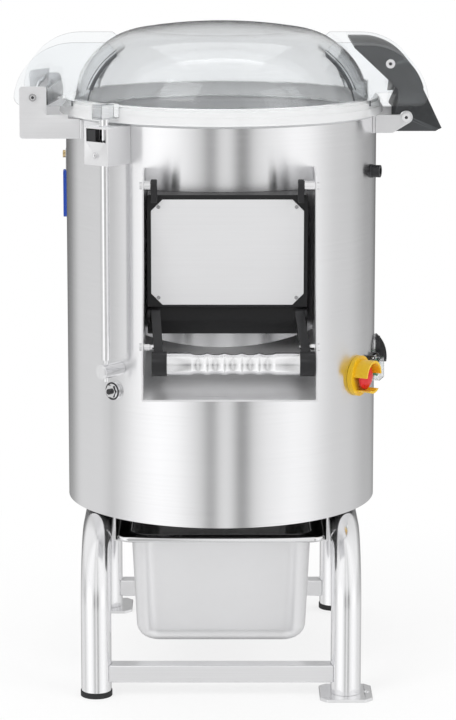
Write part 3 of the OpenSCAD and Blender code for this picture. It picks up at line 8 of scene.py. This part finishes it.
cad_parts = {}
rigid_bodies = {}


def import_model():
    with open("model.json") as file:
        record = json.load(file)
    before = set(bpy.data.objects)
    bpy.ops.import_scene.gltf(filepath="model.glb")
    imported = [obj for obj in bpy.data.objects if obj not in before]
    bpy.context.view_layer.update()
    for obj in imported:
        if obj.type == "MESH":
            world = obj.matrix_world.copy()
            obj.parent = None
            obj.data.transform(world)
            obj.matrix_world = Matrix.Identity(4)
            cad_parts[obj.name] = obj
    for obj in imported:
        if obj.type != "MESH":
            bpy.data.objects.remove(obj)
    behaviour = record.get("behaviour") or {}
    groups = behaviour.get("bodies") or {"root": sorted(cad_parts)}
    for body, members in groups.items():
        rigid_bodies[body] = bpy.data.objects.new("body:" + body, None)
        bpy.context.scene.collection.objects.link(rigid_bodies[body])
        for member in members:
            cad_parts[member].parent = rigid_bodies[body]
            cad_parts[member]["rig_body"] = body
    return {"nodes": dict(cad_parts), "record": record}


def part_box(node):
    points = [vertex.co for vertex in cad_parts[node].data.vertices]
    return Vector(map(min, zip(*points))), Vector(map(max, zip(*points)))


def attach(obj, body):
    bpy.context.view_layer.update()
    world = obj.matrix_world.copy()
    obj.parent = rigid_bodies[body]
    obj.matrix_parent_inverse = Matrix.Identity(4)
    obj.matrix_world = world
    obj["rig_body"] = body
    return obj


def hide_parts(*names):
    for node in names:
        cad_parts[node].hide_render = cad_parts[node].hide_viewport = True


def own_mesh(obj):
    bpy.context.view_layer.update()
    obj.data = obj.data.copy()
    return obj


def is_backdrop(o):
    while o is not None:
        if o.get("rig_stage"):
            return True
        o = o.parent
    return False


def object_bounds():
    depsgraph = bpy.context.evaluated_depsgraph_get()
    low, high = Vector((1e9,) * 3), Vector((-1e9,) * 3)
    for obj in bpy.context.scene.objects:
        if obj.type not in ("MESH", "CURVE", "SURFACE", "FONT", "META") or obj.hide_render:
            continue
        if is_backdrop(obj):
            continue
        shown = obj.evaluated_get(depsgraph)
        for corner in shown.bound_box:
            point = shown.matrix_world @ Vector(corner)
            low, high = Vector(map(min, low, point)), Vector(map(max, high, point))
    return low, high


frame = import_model()
cad_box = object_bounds()
nodes = frame["nodes"]
body_of = {n: o["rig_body"] for n, o in nodes.items()}
slot_of = {s["node"]: s["material_slot"] for s in frame["record"]["subparts"]}
scene = bpy.context.scene
MM = 0.001


# ---------------------------------------------------------------- camera
# Fitted to the photo: its height and middle, where the drum's axis stands in it, and the focal length, in pixels
PHOTO_HEIGHT = 720
PHOTO_MIDDLE = 228
AXIS_IN_PHOTO = 221.07
FOCAL_PIXELS = 2723.0
CAMERA_PLACE = (0, -3.5000, 1.0834)
CAMERA_DOWN = 9.26
CAMERA_SHIFT_UP = -0.127
CAMERA_REACH = 100
SENSOR = 36

cam = bpy.data.objects.new("camera", bpy.data.cameras.new("camera"))
scene.collection.objects.link(cam)
cam.location = CAMERA_PLACE
cam.rotation_euler = (math.radians(90 - CAMERA_DOWN), 0, 0)
cam.data.lens = FOCAL_PIXELS * SENSOR / PHOTO_HEIGHT
cam.data.sensor_width = SENSOR
cam.data.shift_x = (PHOTO_MIDDLE - AXIS_IN_PHOTO) / PHOTO_HEIGHT
cam.data.shift_y = CAMERA_SHIFT_UP
cam.data.clip_end = CAMERA_REACH
scene.camera = cam
scene.view_settings.view_transform = "Standard"


# ---------------------------------------------------------------- node helpers
def add(nt, kind, **values):
    n = nt.nodes.new(kind)
    for k, v in values.items():
        if k in n.inputs:
            n.inputs[k].default_value = v
        else:
            setattr(n, k, v)
    return n


def mapped(nt, value, limits, **options):
    """The value spread from limits' first two numbers to its last two."""
    n = add(nt, "ShaderNodeMapRange", **options)
    for name, v in zip(("From Min", "From Max", "To Min", "To Max"), limits):
        n.inputs[name].default_value = v
    nt.links.new(value, n.inputs["Value"])
    return n.outputs[0]


def maths(nt, operation, *terms):
    """One sum of numbers or other nodes' outputs."""
    n = add(nt, "ShaderNodeMath", operation=operation)
    for socket, term in zip(n.inputs, terms):
        if isinstance(term, (int, float)):
            socket.default_value = term
        else:
            nt.links.new(term, socket)
    return n.outputs[0]


def mixed_shader(nt, share, first, second):
    n = add(nt, "ShaderNodeMixShader")
    for socket, output in zip(n.inputs, (share, first, second)):
        nt.links.new(output, socket)
    return n.outputs[0]


def in_plain_sight(nt, path):
    """1 for a ray from the camera or through clear plastic, else 0."""
    return maths(nt, "MAXIMUM", path.outputs["Is Camera Ray"], path.outputs["Is Transmission Ray"])


# ---------------------------------------------------------------- studio and lamps
WHITE = (1, 1, 1, 1)
SOFT_LIGHT = 0.62
# The studio that the steel mirrors: softboxes and dark flags at these turns from the front, in degrees
FLAGS = [(-180, 0.2), (-166, 0.32), (-150, 0.42), (-132, 0.8), (-100, 0.82), (-90, 0.68), (-82, 0.8), (-66, 1.06),
    (-50, 1.2), (-34, 1.14), (-20, 0.9), (-13, 0.72), (-9, 0.42), (-5, 0.5), (-1, 0.86), (6, 0.92), (10, 0.68),
    (14, 0.34), (18, 0.42), (24, 0.82), (34, 0.98), (54, 1.12), (68, 1.08), (82, 0.9), (92, 0.8), (112, 0.76),
    (134, 0.58), (152, 0.52), (167, 0.34), (180, 0.2)]
# The power that the flags are raised to: weaker for steep rays downwards, and weaker again high up
POWER_LOW = (-0.24, -0.12, 0.9, 1.7)
POWER_HIGH = (0.02, 0.3, 1.0, 0.25)

world = bpy.data.worlds.new("studio")
scene.world = world
world.use_nodes = True
nt = world.node_tree
nt.nodes.clear()
way = add(nt, "ShaderNodeTexCoord")
split = add(nt, "ShaderNodeSeparateXYZ")
nt.links.new(way.outputs["Generated"], split.inputs[0])
turn = maths(nt, "ARCTAN2", split.outputs["X"], maths(nt, "MULTIPLY", split.outputs["Y"], -1))
ramp = add(nt, "ShaderNodeValToRGB")
el = ramp.color_ramp.elements
while len(el) > 1:
    el.remove(el[-1])
for i, (angle, v) in enumerate(FLAGS):
    place = (angle + 180) / 360
    e = el[0] if i == 0 else el.new(place)
    e.position = place
    e.color = (v, v, v, 1)
nt.links.new(mapped(nt, turn, (-math.pi, math.pi, 0, 1)), ramp.inputs[0])
low, high = (mapped(nt, split.outputs["Z"], limits) for limits in (POWER_LOW, POWER_HIGH))
shade = maths(nt, "POWER", ramp.outputs[0], maths(nt, "MULTIPLY", low, high))
path = add(nt, "ShaderNodeLightPath")
plain = add(nt, "ShaderNodeBackground", Color=WHITE, Strength=SOFT_LIGHT)
seen = add(nt, "ShaderNodeBackground", Color=WHITE, Strength=1.0)
mirror = add(nt, "ShaderNodeBackground", Strength=1.0)
nt.links.new(shade, mirror.inputs["Color"])
lit = mixed_shader(nt, path.outputs["Is Glossy Ray"], plain.outputs[0], mirror.outputs[0])
sky = mixed_shader(nt, in_plain_sight(nt, path), lit, seen.outputs[0])
nt.links.new(sky, add(nt, "ShaderNodeOutputWorld").inputs[0])

# Each lamp's place, what it points at, its size in metres and its power in watts
LAMPS = {"key": ((-1.6, -2.2, 2.6), (0, 0, 0.45), 1.6, 42), "fill": ((2.2, -1.8, 1.8), (0, 0, 0.45), 1.6, 22),
    "top": ((0, 0.6, 3.0), (0, 0, 0.5), 2.0, 26)}
for name, (place, target, size, watts) in LAMPS.items():
    d = bpy.data.lights.new(name, "AREA")
    d.size, d.energy = size, watts
    o = bpy.data.objects.new(name, d)
    scene.collection.objects.link(o)
    o.location = place
    o.rotation_euler = (Vector(target) - Vector(place)).to_track_quat("-Z", "Y").to_euler()
    o.visible_glossy = False


# ---------------------------------------------------------------- floor
FLOOR_HALF = 40
FLOOR_DROP = 0.0005
FLOOR_GREY = 0.93
# The floor's shade fades into the white ground between these distances, from three quarters white
FLOOR_FADE = (0.25, 0.8, 0.75, 1.0)

floor_mesh = bpy.data.meshes.new("floor")
corners = [(x * FLOOR_HALF, y * FLOOR_HALF, 0) for x, y in ((-1, -1), (1, -1), (1, 1), (-1, 1))]
floor_mesh.from_pydata(corners, [], [(0, 1, 2, 3)])
floor = bpy.data.objects.new("floor", floor_mesh)
scene.collection.objects.link(floor)
floor.location.z = -FLOOR_DROP
floor.visible_glossy = False
floor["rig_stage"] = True
ground = bpy.data.materials.new("floor")
ground.use_nodes = True
nt = ground.node_tree
nt.nodes.clear()
dull = add(nt, "ShaderNodeBsdfDiffuse", Color=(FLOOR_GREY, FLOOR_GREY, FLOOR_GREY, 1))
glow = add(nt, "ShaderNodeEmission", Color=WHITE, Strength=1.0)
co = add(nt, "ShaderNodeTexCoord")
length = add(nt, "ShaderNodeVectorMath", operation="LENGTH")
nt.links.new(co.outputs["Object"], length.inputs[0])
far = mapped(nt, length.outputs["Value"], FLOOR_FADE, interpolation_type="SMOOTHSTEP")
share = maths(nt, "MULTIPLY", far, in_plain_sight(nt, add(nt, "ShaderNodeLightPath")))
faded = mixed_shader(nt, share, dull.outputs[0], glow.outputs[0])
nt.links.new(faded, add(nt, "ShaderNodeOutputMaterial").inputs[0])
floor_mesh.materials.append(ground)


# ---------------------------------------------------------------- materials
NOISE_SPAN = (0.3, 0.7)
BROAD_SCALE = 6.0
BROAD_SHARE = 0.35
BUMP_DEPTH = 0.001
# Pointiness over which sharp convex edges take up to half of the lighter edge tone
EDGE_SPAN = (0.52, 0.62, 0, 0.5)


def material(name, color, metal=0.0, rough=0.4, stretch=(1, 1, 1), scale=60, vary=0.04, bump=0.02, grain=None,
        edge_tone=None, rough_vary=0.05, brushed=0, **sockets):
    """A finish whose colour, roughness and bump come from noise stretched along the way it was brushed or moulded."""
    m = bpy.data.materials.new(name)
    m.use_nodes = True
    nt = m.node_tree
    bsdf = nt.nodes["Principled BSDF"]
    bsdf.inputs["Metallic"].default_value = metal
    for k, v in sockets.items():
        bsdf.inputs[k.replace("_", " ")].default_value = v
    if brushed:
        tangent = add(nt, "ShaderNodeTangent", direction_type="RADIAL", axis="Z")
        nt.links.new(tangent.outputs[0], bsdf.inputs["Tangent"])
        bsdf.inputs["Anisotropic"].default_value = brushed
        bsdf.inputs["Anisotropic Rotation"].default_value = 0.25
    co = add(nt, "ShaderNodeTexCoord")
    mp = add(nt, "ShaderNodeMapping")
    mp.inputs["Scale"].default_value = stretch
    nt.links.new(co.outputs["Object"], mp.inputs["Vector"])
    fine = add(nt, "ShaderNodeTexNoise", Scale=scale, Detail=6.0, Roughness=0.6)
    nt.links.new(mp.outputs[0], fine.inputs["Vector"])
    broad = add(nt, "ShaderNodeTexNoise", Scale=BROAD_SCALE, Detail=3.0)
    nt.links.new(co.outputs["Object"], broad.inputs["Vector"])
    mixed = add(nt, "ShaderNodeMix", data_type="FLOAT")
    mixed.inputs["Factor"].default_value = BROAD_SHARE
    nt.links.new(fine.outputs["Fac"], mixed.inputs["A"])
    nt.links.new(broad.outputs["Fac"], mixed.inputs["B"])
    tint = add(nt, "ShaderNodeValToRGB")
    for e, k, p in zip(tint.color_ramp.elements, (1 - 2 * vary, 1 + vary), NOISE_SPAN):
        e.position = p
        e.color = tuple(min(1.0, max(0.0, c * k)) for c in color) + (1,)
    nt.links.new(mixed.outputs["Result"], tint.inputs[0])
    out = tint.outputs[0]
    # Sharp convex edges are mixed toward a lighter edge tone
    if edge_tone:
        geo = add(nt, "ShaderNodeNewGeometry")
        edge_mix = add(nt, "ShaderNodeMix", data_type="RGBA")
        nt.links.new(mapped(nt, geo.outputs["Pointiness"], EDGE_SPAN), edge_mix.inputs["Factor"])
        nt.links.new(out, edge_mix.inputs["A"])
        edge_mix.inputs["B"].default_value = tuple(edge_tone) + (1,)
        out = edge_mix.outputs["Result"]
    nt.links.new(out, bsdf.inputs["Base Color"])
    rough_span = NOISE_SPAN + (rough - rough_vary, rough + rough_vary)
    nt.links.new(mapped(nt, mixed.outputs["Result"], rough_span), bsdf.inputs["Roughness"])
    height = fine.outputs["Fac"]
    if grain:
        cells = add(nt, "ShaderNodeTexVoronoi", Scale=grain)
        nt.links.new(co.outputs["Object"], cells.inputs["Vector"])
        height = maths(nt, "ADD", cells.outputs["Distance"], height)
    bp = add(nt, "ShaderNodeBump", Strength=bump, Distance=BUMP_DEPTH)
    nt.links.new(height, bp.inputs["Height"])
    nt.links.new(bp.outputs[0], bsdf.inputs["Normal"])
    return m


# How each finish's noise is stretched: long along the way of the brush, or the same all ways
AROUND_Z = (2, 2, 260)
ALONG_X = (2, 260, 260)
AROUND_X = (260, 2, 2)
ALONG_Z = (260, 260, 2)
EVEN = (4, 4, 4)
CLOSE = (40, 40, 40)
MATS = {
    "drum_steel": material("drum_steel", (0.83, 0.83, 0.84), 1, 0.24, AROUND_Z, 3, 0.02, 0.02, rough_vary=0.03,
        brushed=0.85),
    "frame_steel": material("frame_steel", (0.89, 0.89, 0.9), 0.95, 0.17, ALONG_Z, 3, 0.02, 0.02, rough_vary=0.03),
    "rim_steel": material("rim_steel", (0.88, 0.88, 0.89), 1, 0.1, EVEN, 5, 0.01, 0.003, rough_vary=0.02),
    "bar_steel": material("bar_steel", (0.9, 0.9, 0.91), 0.8, 0.32, ALONG_X, 3, 0.02, 0.02),
    "sheet_steel": material("sheet_steel", (0.86, 0.86, 0.87), 0.72, 0.32, ALONG_X, 3, 0.02, 0.03),
    "plate_steel": material("plate_steel", (0.9, 0.9, 0.91), 0.7, 0.38, ALONG_X, 3, 0.015, 0.015),
    "lining_steel": material("lining_steel", (0.9, 0.9, 0.91), 0.4, 0.3, AROUND_Z, 3, 0.03, 0.03, brushed=0.7),
    "bright_steel": material("bright_steel", (0.86, 0.86, 0.87), 1, 0.07, CLOSE, 4, 0.03, 0.02, rough_vary=0.02),
    "rivet_steel": material("rivet_steel", (0.42, 0.42, 0.43), 1, 0.22, CLOSE, 4, 0.05, 0.03),
    "pan_steel": material("pan_steel", (0.9, 0.9, 0.91), 0.75, 0.36, EVEN, 5, 0.012, 0.004, rough_vary=0.02),
    "shaft_steel": material("shaft_steel", (0.7, 0.7, 0.71), 1, 0.28, AROUND_Z, 3, 0.05, 0.06),
    "handle_aluminium": material("handle_aluminium", (0.9, 0.9, 0.91), 1, 0.22, AROUND_X, 3, 0.02, 0.04),
    "cast_grey": material("cast_grey", (0.36, 0.36, 0.38), 1, 0.5, scale=90, vary=0.1, bump=0.3, grain=900),
    "motor_paint": material("motor_paint", (0.12, 0.17, 0.23), 0, 0.4, scale=120, bump=0.2, grain=1200),
    "box_paint": material("box_paint", (0.6, 0.61, 0.62), 0, 0.5, scale=120, bump=0.2, grain=1500),
    "arm_paint": material("arm_paint", (0.06, 0.063, 0.066), 0.55, 0.34, scale=150, vary=0.1, bump=0.08, grain=1800,
        edge_tone=(0.2, 0.21, 0.22)),
    "abrasive": material("abrasive", (0.09, 0.085, 0.08), 0, 0.85, scale=400, vary=0.3, bump=0.9, grain=700),
    "black_casting": material("black_casting", (0.009, 0.009, 0.01), 0, 0.42, scale=200, vary=0.15, bump=0.12,
        grain=1400, edge_tone=(0.05, 0.05, 0.053), Specular_IOR_Level=0.35),
    "black_plastic": material("black_plastic", (0.018, 0.018, 0.02), 0, 0.36, scale=220, vary=0.15, bump=0.08,
        grain=2200, edge_tone=(0.07, 0.07, 0.075)),
    "black_rubber": material("black_rubber", (0.02, 0.02, 0.021), 0, 0.7, scale=160, vary=0.2, bump=0.2, grain=1600),
    "pale_rubber": material("pale_rubber", (0.7, 0.71, 0.72), 0, 0.5, scale=140, vary=0.04, bump=0.05, grain=1500),
    # Painted shade: near black for the drum's bottom plate, standing in for the shadow under the drum
    "dark_steel": material("dark_steel", (0.03, 0.03, 0.032), 0, 0.75, scale=120, vary=0.2, bump=0.1, grain=900),
    "yellow_plastic": material("yellow_plastic", (0.9, 0.56, 0.015), 0, 0.3, scale=90, vary=0.04, bump=0.04),
    "red_plastic": material("red_plastic", (0.72, 0.012, 0.016), 0, 0.28, scale=90, vary=0.05, bump=0.04),
    "green_plastic": material("green_plastic", (0.02, 0.28, 0.07), 0, 0.3, scale=90, vary=0.05, bump=0.04),
    "blue_vinyl": material("blue_vinyl", (0.012, 0.07, 0.46), 0, 0.32, scale=120, vary=0.06, bump=0.06),
    "brass": material("brass", (0.78, 0.6, 0.33), 1, 0.3, scale=80, vary=0.06, bump=0.06),
    "clear_plastic": material("clear_plastic", (0.95, 0.965, 0.975), 0, 0.035, scale=25, vary=0.01, bump=0.004,
        rough_vary=0.015, Transmission_Weight=1.0, IOR=1.45, Alpha=0.9),
    # Painted shade: dark grey on the clear plates' rims and bevels and on the dome's moulding mark, standing in for
    # the dark lines refraction gives their edges
    "clear_edge_painted_shade": material("clear_edge_painted_shade", (0.14, 0.15, 0.16), 0, 0.2, scale=60, vary=0.04, bump=0.03,
        Transmission_Weight=0.1, IOR=1.45),
    # Painted light: the lid's flange is the clear plastic made mostly opaque and near white, standing in for the
    # brightness it shows under the studio lights
    "clear_rim_painted_light": material("clear_rim_painted_light", (0.92, 0.925, 0.93), 0, 0.14, scale=25, vary=0.02, bump=0.01,
        Transmission_Weight=0.2, IOR=1.45),
}


# ---------------------------------------------------------------- pieces from the solids
SAME_POINT = 2e-6
EDGE_ANGLE = 32


def link(name, mesh, slot, body, *stands_for, look=None):
    o = bpy.data.objects.new(name, mesh)
    scene.collection.objects.link(o)
    mesh.materials.append(MATS[look or slot])
    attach(o, body)
    if stands_for:
        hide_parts(*stands_for)
    return o


def mesh_of(name, bm, angle):
    """The finished mesh, smooth but for its edges sharper than angle."""
    for f in bm.faces:
        f.smooth = True
    for e in bm.edges:
        e.smooth = len(e.link_faces) == 2 and e.calc_face_angle(0) < math.radians(angle)
    me = bpy.data.meshes.new(name)
    bm.to_mesh(me)
    bm.free()
    return me


def dressed(node, bevel, look=None, second=None, where=None):
    """The node's solid with its edges rounded, and a second finish on the faces that where() picks."""
    bm = bmesh.new()
    bm.from_mesh(nodes[node].data)
    bmesh.ops.remove_doubles(bm, verts=bm.verts, dist=SAME_POINT)
    if second:
        for f in bm.faces:
            f.material_index = int(where(f))
    me = mesh_of(node + "_mesh", bm, EDGE_ANGLE)
    if "custom_normal" in me.attributes:
        me.attributes.remove(me.attributes["custom_normal"])
    o = link(node + "_body", me, slot_of[node], body_of[node], node, look=look)
    if second:
        me.materials.append(MATS[second])
    if bevel:
        b = o.modifiers.new("edges", "BEVEL")
        b.width = bevel * MM
        b.segments = 2
        b.limit_method = "ANGLE"
        b.angle_limit = math.radians(EDGE_ANGLE + 4)
        b.miter_outer = "MITER_ARC"
        # The clear pieces' bevels take the painted edge shade
        if second == "clear_edge_painted_shade":
            b.material = 1


# Edge roundings in mm, where they differ from the usual
USUAL_BEVEL = 0.4
BEVEL = {"outer_drum": 0, "lid_dome": 0, "rod_spring": 0, "drive_belt": 0, "door_gasket": 0, "rim_gasket": 0,
    "left_leg_tube": 0, "right_leg_tube": 0, "label_plate": 0.3, "lever_handle": 0.5, "side_bracket": 0.5,
    "hinge_bracket": 0.5, "peeling_disc": 0.6, "floor_plates": 0.6, "stop_guard": 0.7, "lid_ears": 0.8,
    "cross_bars": 1.2, "door_frame": 1.6, "lever_arms": 1.6, "stop_button": 1.8}
LOOKS = {"label_plate": "plate_steel", "wall_lining": "lining_steel", "cross_bars": "bar_steel",
    "label_rivets": "rivet_steel"}
INNER_R = 0.15
FLANGE_R = 0.1905
FLANGE_H = 0.0215
dome_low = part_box("lid_dome")[0][2]
dome_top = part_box("lid_dome")[1][2]


def is_edge(f):
    """A face on the rim of an ear plate."""
    return abs(f.normal.y) < 0.5


def is_inner(f):
    """A face of the drum's wall that looks at the axis."""
    c = f.calc_center_median()
    return math.hypot(c.x, c.y) > INNER_R and f.normal.x * c.x + f.normal.y * c.y < -0.1 * math.hypot(c.x, c.y)


def is_flange(f):
    """A face of the lid's flange, outside the dome's foot."""
    c = f.calc_center_median()
    return math.hypot(c.x, c.y) > FLANGE_R and c.z < dome_low + FLANGE_H


def is_none(f):
    """For a piece whose second finish goes on its rounded edges alone."""
    return False


# The ear plates' rims and the start cover's and lid actuator's bevels take the painted edge shade
SPLIT = {"lid_ears": ("clear_edge_painted_shade", is_edge), "outer_drum": ("lining_steel", is_inner),
    # The dome's flange takes the painted light
    "lid_dome": ("clear_rim_painted_light", is_flange), "start_cover": ("clear_edge_painted_shade", is_none),
    "lid_actuator": ("clear_edge_painted_shade", is_none)}
for n in sorted(set(nodes) - {"waste_pan"}):
    second, where = SPLIT.get(n, (None, None))
    dressed(n, BEVEL.get(n, USUAL_BEVEL), look=LOOKS.get(n), second=second, where=where)

# The rod's spring gets its own copy of its mesh
lo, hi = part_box("rod_spring")
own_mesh(bpy.data.objects["rod_spring_body"])


# ---------------------------------------------------------------- shapes of the script's own
def loft(rings, ringed=False):
    """A closed skin through rings of points, capped at its first and last, or joined up where ringed."""
    bm = bmesh.new()
    rows = [[bm.verts.new([c * MM for c in p]) for p in ring] for ring in rings]
    for a, b in zip(rows, rows[1:] + (rows[:1] if ringed else [])):
        for i in range(len(a)):
            j = (i + 1) % len(a)
            bm.faces.new((a[i], a[j], b[j], b[i]))
    if not ringed:
        bm.faces.new(rows[0])
        bm.faces.new(list(reversed(rows[-1])))
    return bm


def outward_mesh(name, bm, angle):
    bmesh.ops.recalc_face_normals(bm, faces=bm.faces)
    return mesh_of(name, bm, angle)


def round_ring(half_x, half_y, r, z, steps=10):
    """A rounded rectangle of points round the upright axis."""
    pts = []
    for sx, sy, start in ((1, 1, 0), (-1, 1, 90), (-1, -1, 180), (1, -1, 270)):
        for k in range(steps + 1):
            a = math.radians(start + 90 * k / steps)
            pts.append((sx * (half_x - r) + r * math.cos(a), sy * (half_y - r) + r * math.sin(a), z))
    return pts


# The waste pan in mm: pressed from sheet, with a rolled rim, leaning walls and soft bottom edges
PAN_LIP = 17
PAN_LEAN = 7
PAN_R = 20
PAN_CORNER = 30
RIM_CORNER = 14
LEAST_CORNER = 9
SHEET = 1.0
BEAD = 4
BEAD_END = 8.6
PAN_SMOOTH = 50
lo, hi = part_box("waste_pan")
half_x, half_y, pan_top, pan_low = hi[0] / MM, hi[1] / MM, hi[2] / MM, lo[2] / MM


def wall_inset(z):
    return PAN_LIP + PAN_LEAN * (pan_top - z) / (pan_top - pan_low)


def pan_ring(inset, z):
    grown = min(1, inset / PAN_LIP)
    r = RIM_CORNER + (PAN_CORNER - RIM_CORNER) * grown - max(0, inset - PAN_LIP - PAN_LEAN)
    return round_ring(half_x - inset, half_y - inset, max(LEAST_CORNER, r), z)


def pan_bottom(extra):
    r = PAN_R - extra
    z = pan_low + PAN_R
    w = wall_inset(z) + extra
    return [(w + r - r * math.cos(t), z - r * math.sin(t)) for t in [math.radians(9 * k) for k in range(11)]]


# Points of the section, from the inside over the rim to the outside: in from the rim's edge, and height
inside = [(PAN_LIP + SHEET + 1, pan_top - 3.2), (PAN_LIP - 0.6, pan_top - 0.9), (PAN_LIP - 3, pan_top),
    (BEAD + 1, pan_top)]
rim = [(BEAD - BEAD * math.cos(a), pan_top - BEAD + BEAD * math.sin(a))
    for a in [math.radians(90 - 15 * k) for k in range(14)]]
rim += [(BEAD + 1.6, pan_top - BEAD), (BEAD + 2, pan_top - SHEET - 0.6), (BEAD + 3, pan_top - SHEET)]
outside = [(PAN_LIP - 3.2, pan_top - SHEET), (PAN_LIP - 1, pan_top - 2), (PAN_LIP, pan_top - 4)]
section = list(reversed(pan_bottom(SHEET))) + inside + rim + outside + pan_bottom(0)
pan_mesh = outward_mesh("waste_pan_mesh", loft([pan_ring(inset, z) for inset, z in section]), PAN_SMOOTH)
pan = link("waste_pan_body", pan_mesh, "pan_steel", body_of["waste_pan"], "waste_pan")
pan_mesh.materials.append(MATS["rim_steel"])
for f in pan_mesh.polygons:
    f.material_index = int(f.center.z > (pan_top - BEAD_END) * MM)


def turned(name, points, place, axis, slot, body, look=None, sides=32, angle=40, ringed=False):
    """A lathe-turned piece: radii and heights along an axis from a place, in mm."""
    bm = loft([[(r * math.cos(2 * math.pi * k / sides), r * math.sin(2 * math.pi * k / sides), h)
        for k in range(sides)] for r, h in points], ringed)
    spin = Vector(axis).to_track_quat("Z", "Y").to_matrix().to_4x4()
    bmesh.ops.transform(bm, matrix=Matrix.Translation(Vector(place) * MM) @ spin, verts=bm.verts)
    link(name, outward_mesh(name + "_mesh", bm, angle), slot, body, look=look)


def socket(name, node, place, axis, r):
    """The rolled edge round a bolt head's six-sided key hole, whose dark recess is painted shade: a flat black
    hexagon.
    """
    turned(name, [(r * 0.75, 0.02), (r * 0.8, 0.14), (r * 1.04, 0.16), (r * 1.1, 0.08), (r * 1.1, -0.3)], place, axis,
        slot_of[node], body_of[node])
    # Painted shade: the key hole's dark depth is a black hexagon flush with the head
    turned(name + "_painted_shade_hole", [(r * 0.84, -0.2), (r * 0.84, 0.17), (r * 0.2, 0.17)], place, axis, "black_plastic",
        body_of[node], sides=6, angle=20)


# Each socket's bolt, the side it faces (-1 is the front) and its radius
SOCKETS = {"front_arm_bolt_socket": ("lid_bolts", -1, 2.6), "rear_arm_bolt_socket": ("lid_bolts", 1, 2.6),
    "side_bolt_socket": ("side_bolt", -1, 2.4), "hinge_pin_socket": ("hinge_pin", -1, 2.4)}
for name, (node, side, r) in SOCKETS.items():
    lo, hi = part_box(node)
    place = ((lo[0] + hi[0]) / 2 / MM, (lo if side < 0 else hi)[1] / MM, (lo[2] + hi[2]) / 2 / MM)
    socket(name, node, place, (0, side, 0), r)

# A thin black ring round the reset button, on its steel flange
RESET_TURN = math.radians(-42)
RESET_OUT = 204
RESET_Z = 381.7
out = Vector((math.sin(RESET_TURN), -math.cos(RESET_TURN), 0))
turned("reset_ring", [(9.3, 0), (9.3, 0.5), (9.6, 0.8), (11.0, 0.8), (11.4, 0.5), (11.4, 0)],
    out * RESET_OUT + Vector((0, 0, RESET_Z)), out, "black_plastic", "machine", ringed=True)
# The moulding mark under the middle of the dome, drawn in the clear plates' painted edge shade
turned("dome_mark", [(4.6, -4.6), (5.2, -4.1), (6.6, -4.05), (7.0, -4.3), (6.8, -4.8), (4.8, -4.8)],
    (0, 0, dome_top / MM), (0, 0, 1), "clear_plastic", body_of["lid_dome"], look="clear_edge_painted_shade", ringed=True)

size = {"cad": [list(c) for c in cad_box], "visual": [list(c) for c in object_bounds()]}
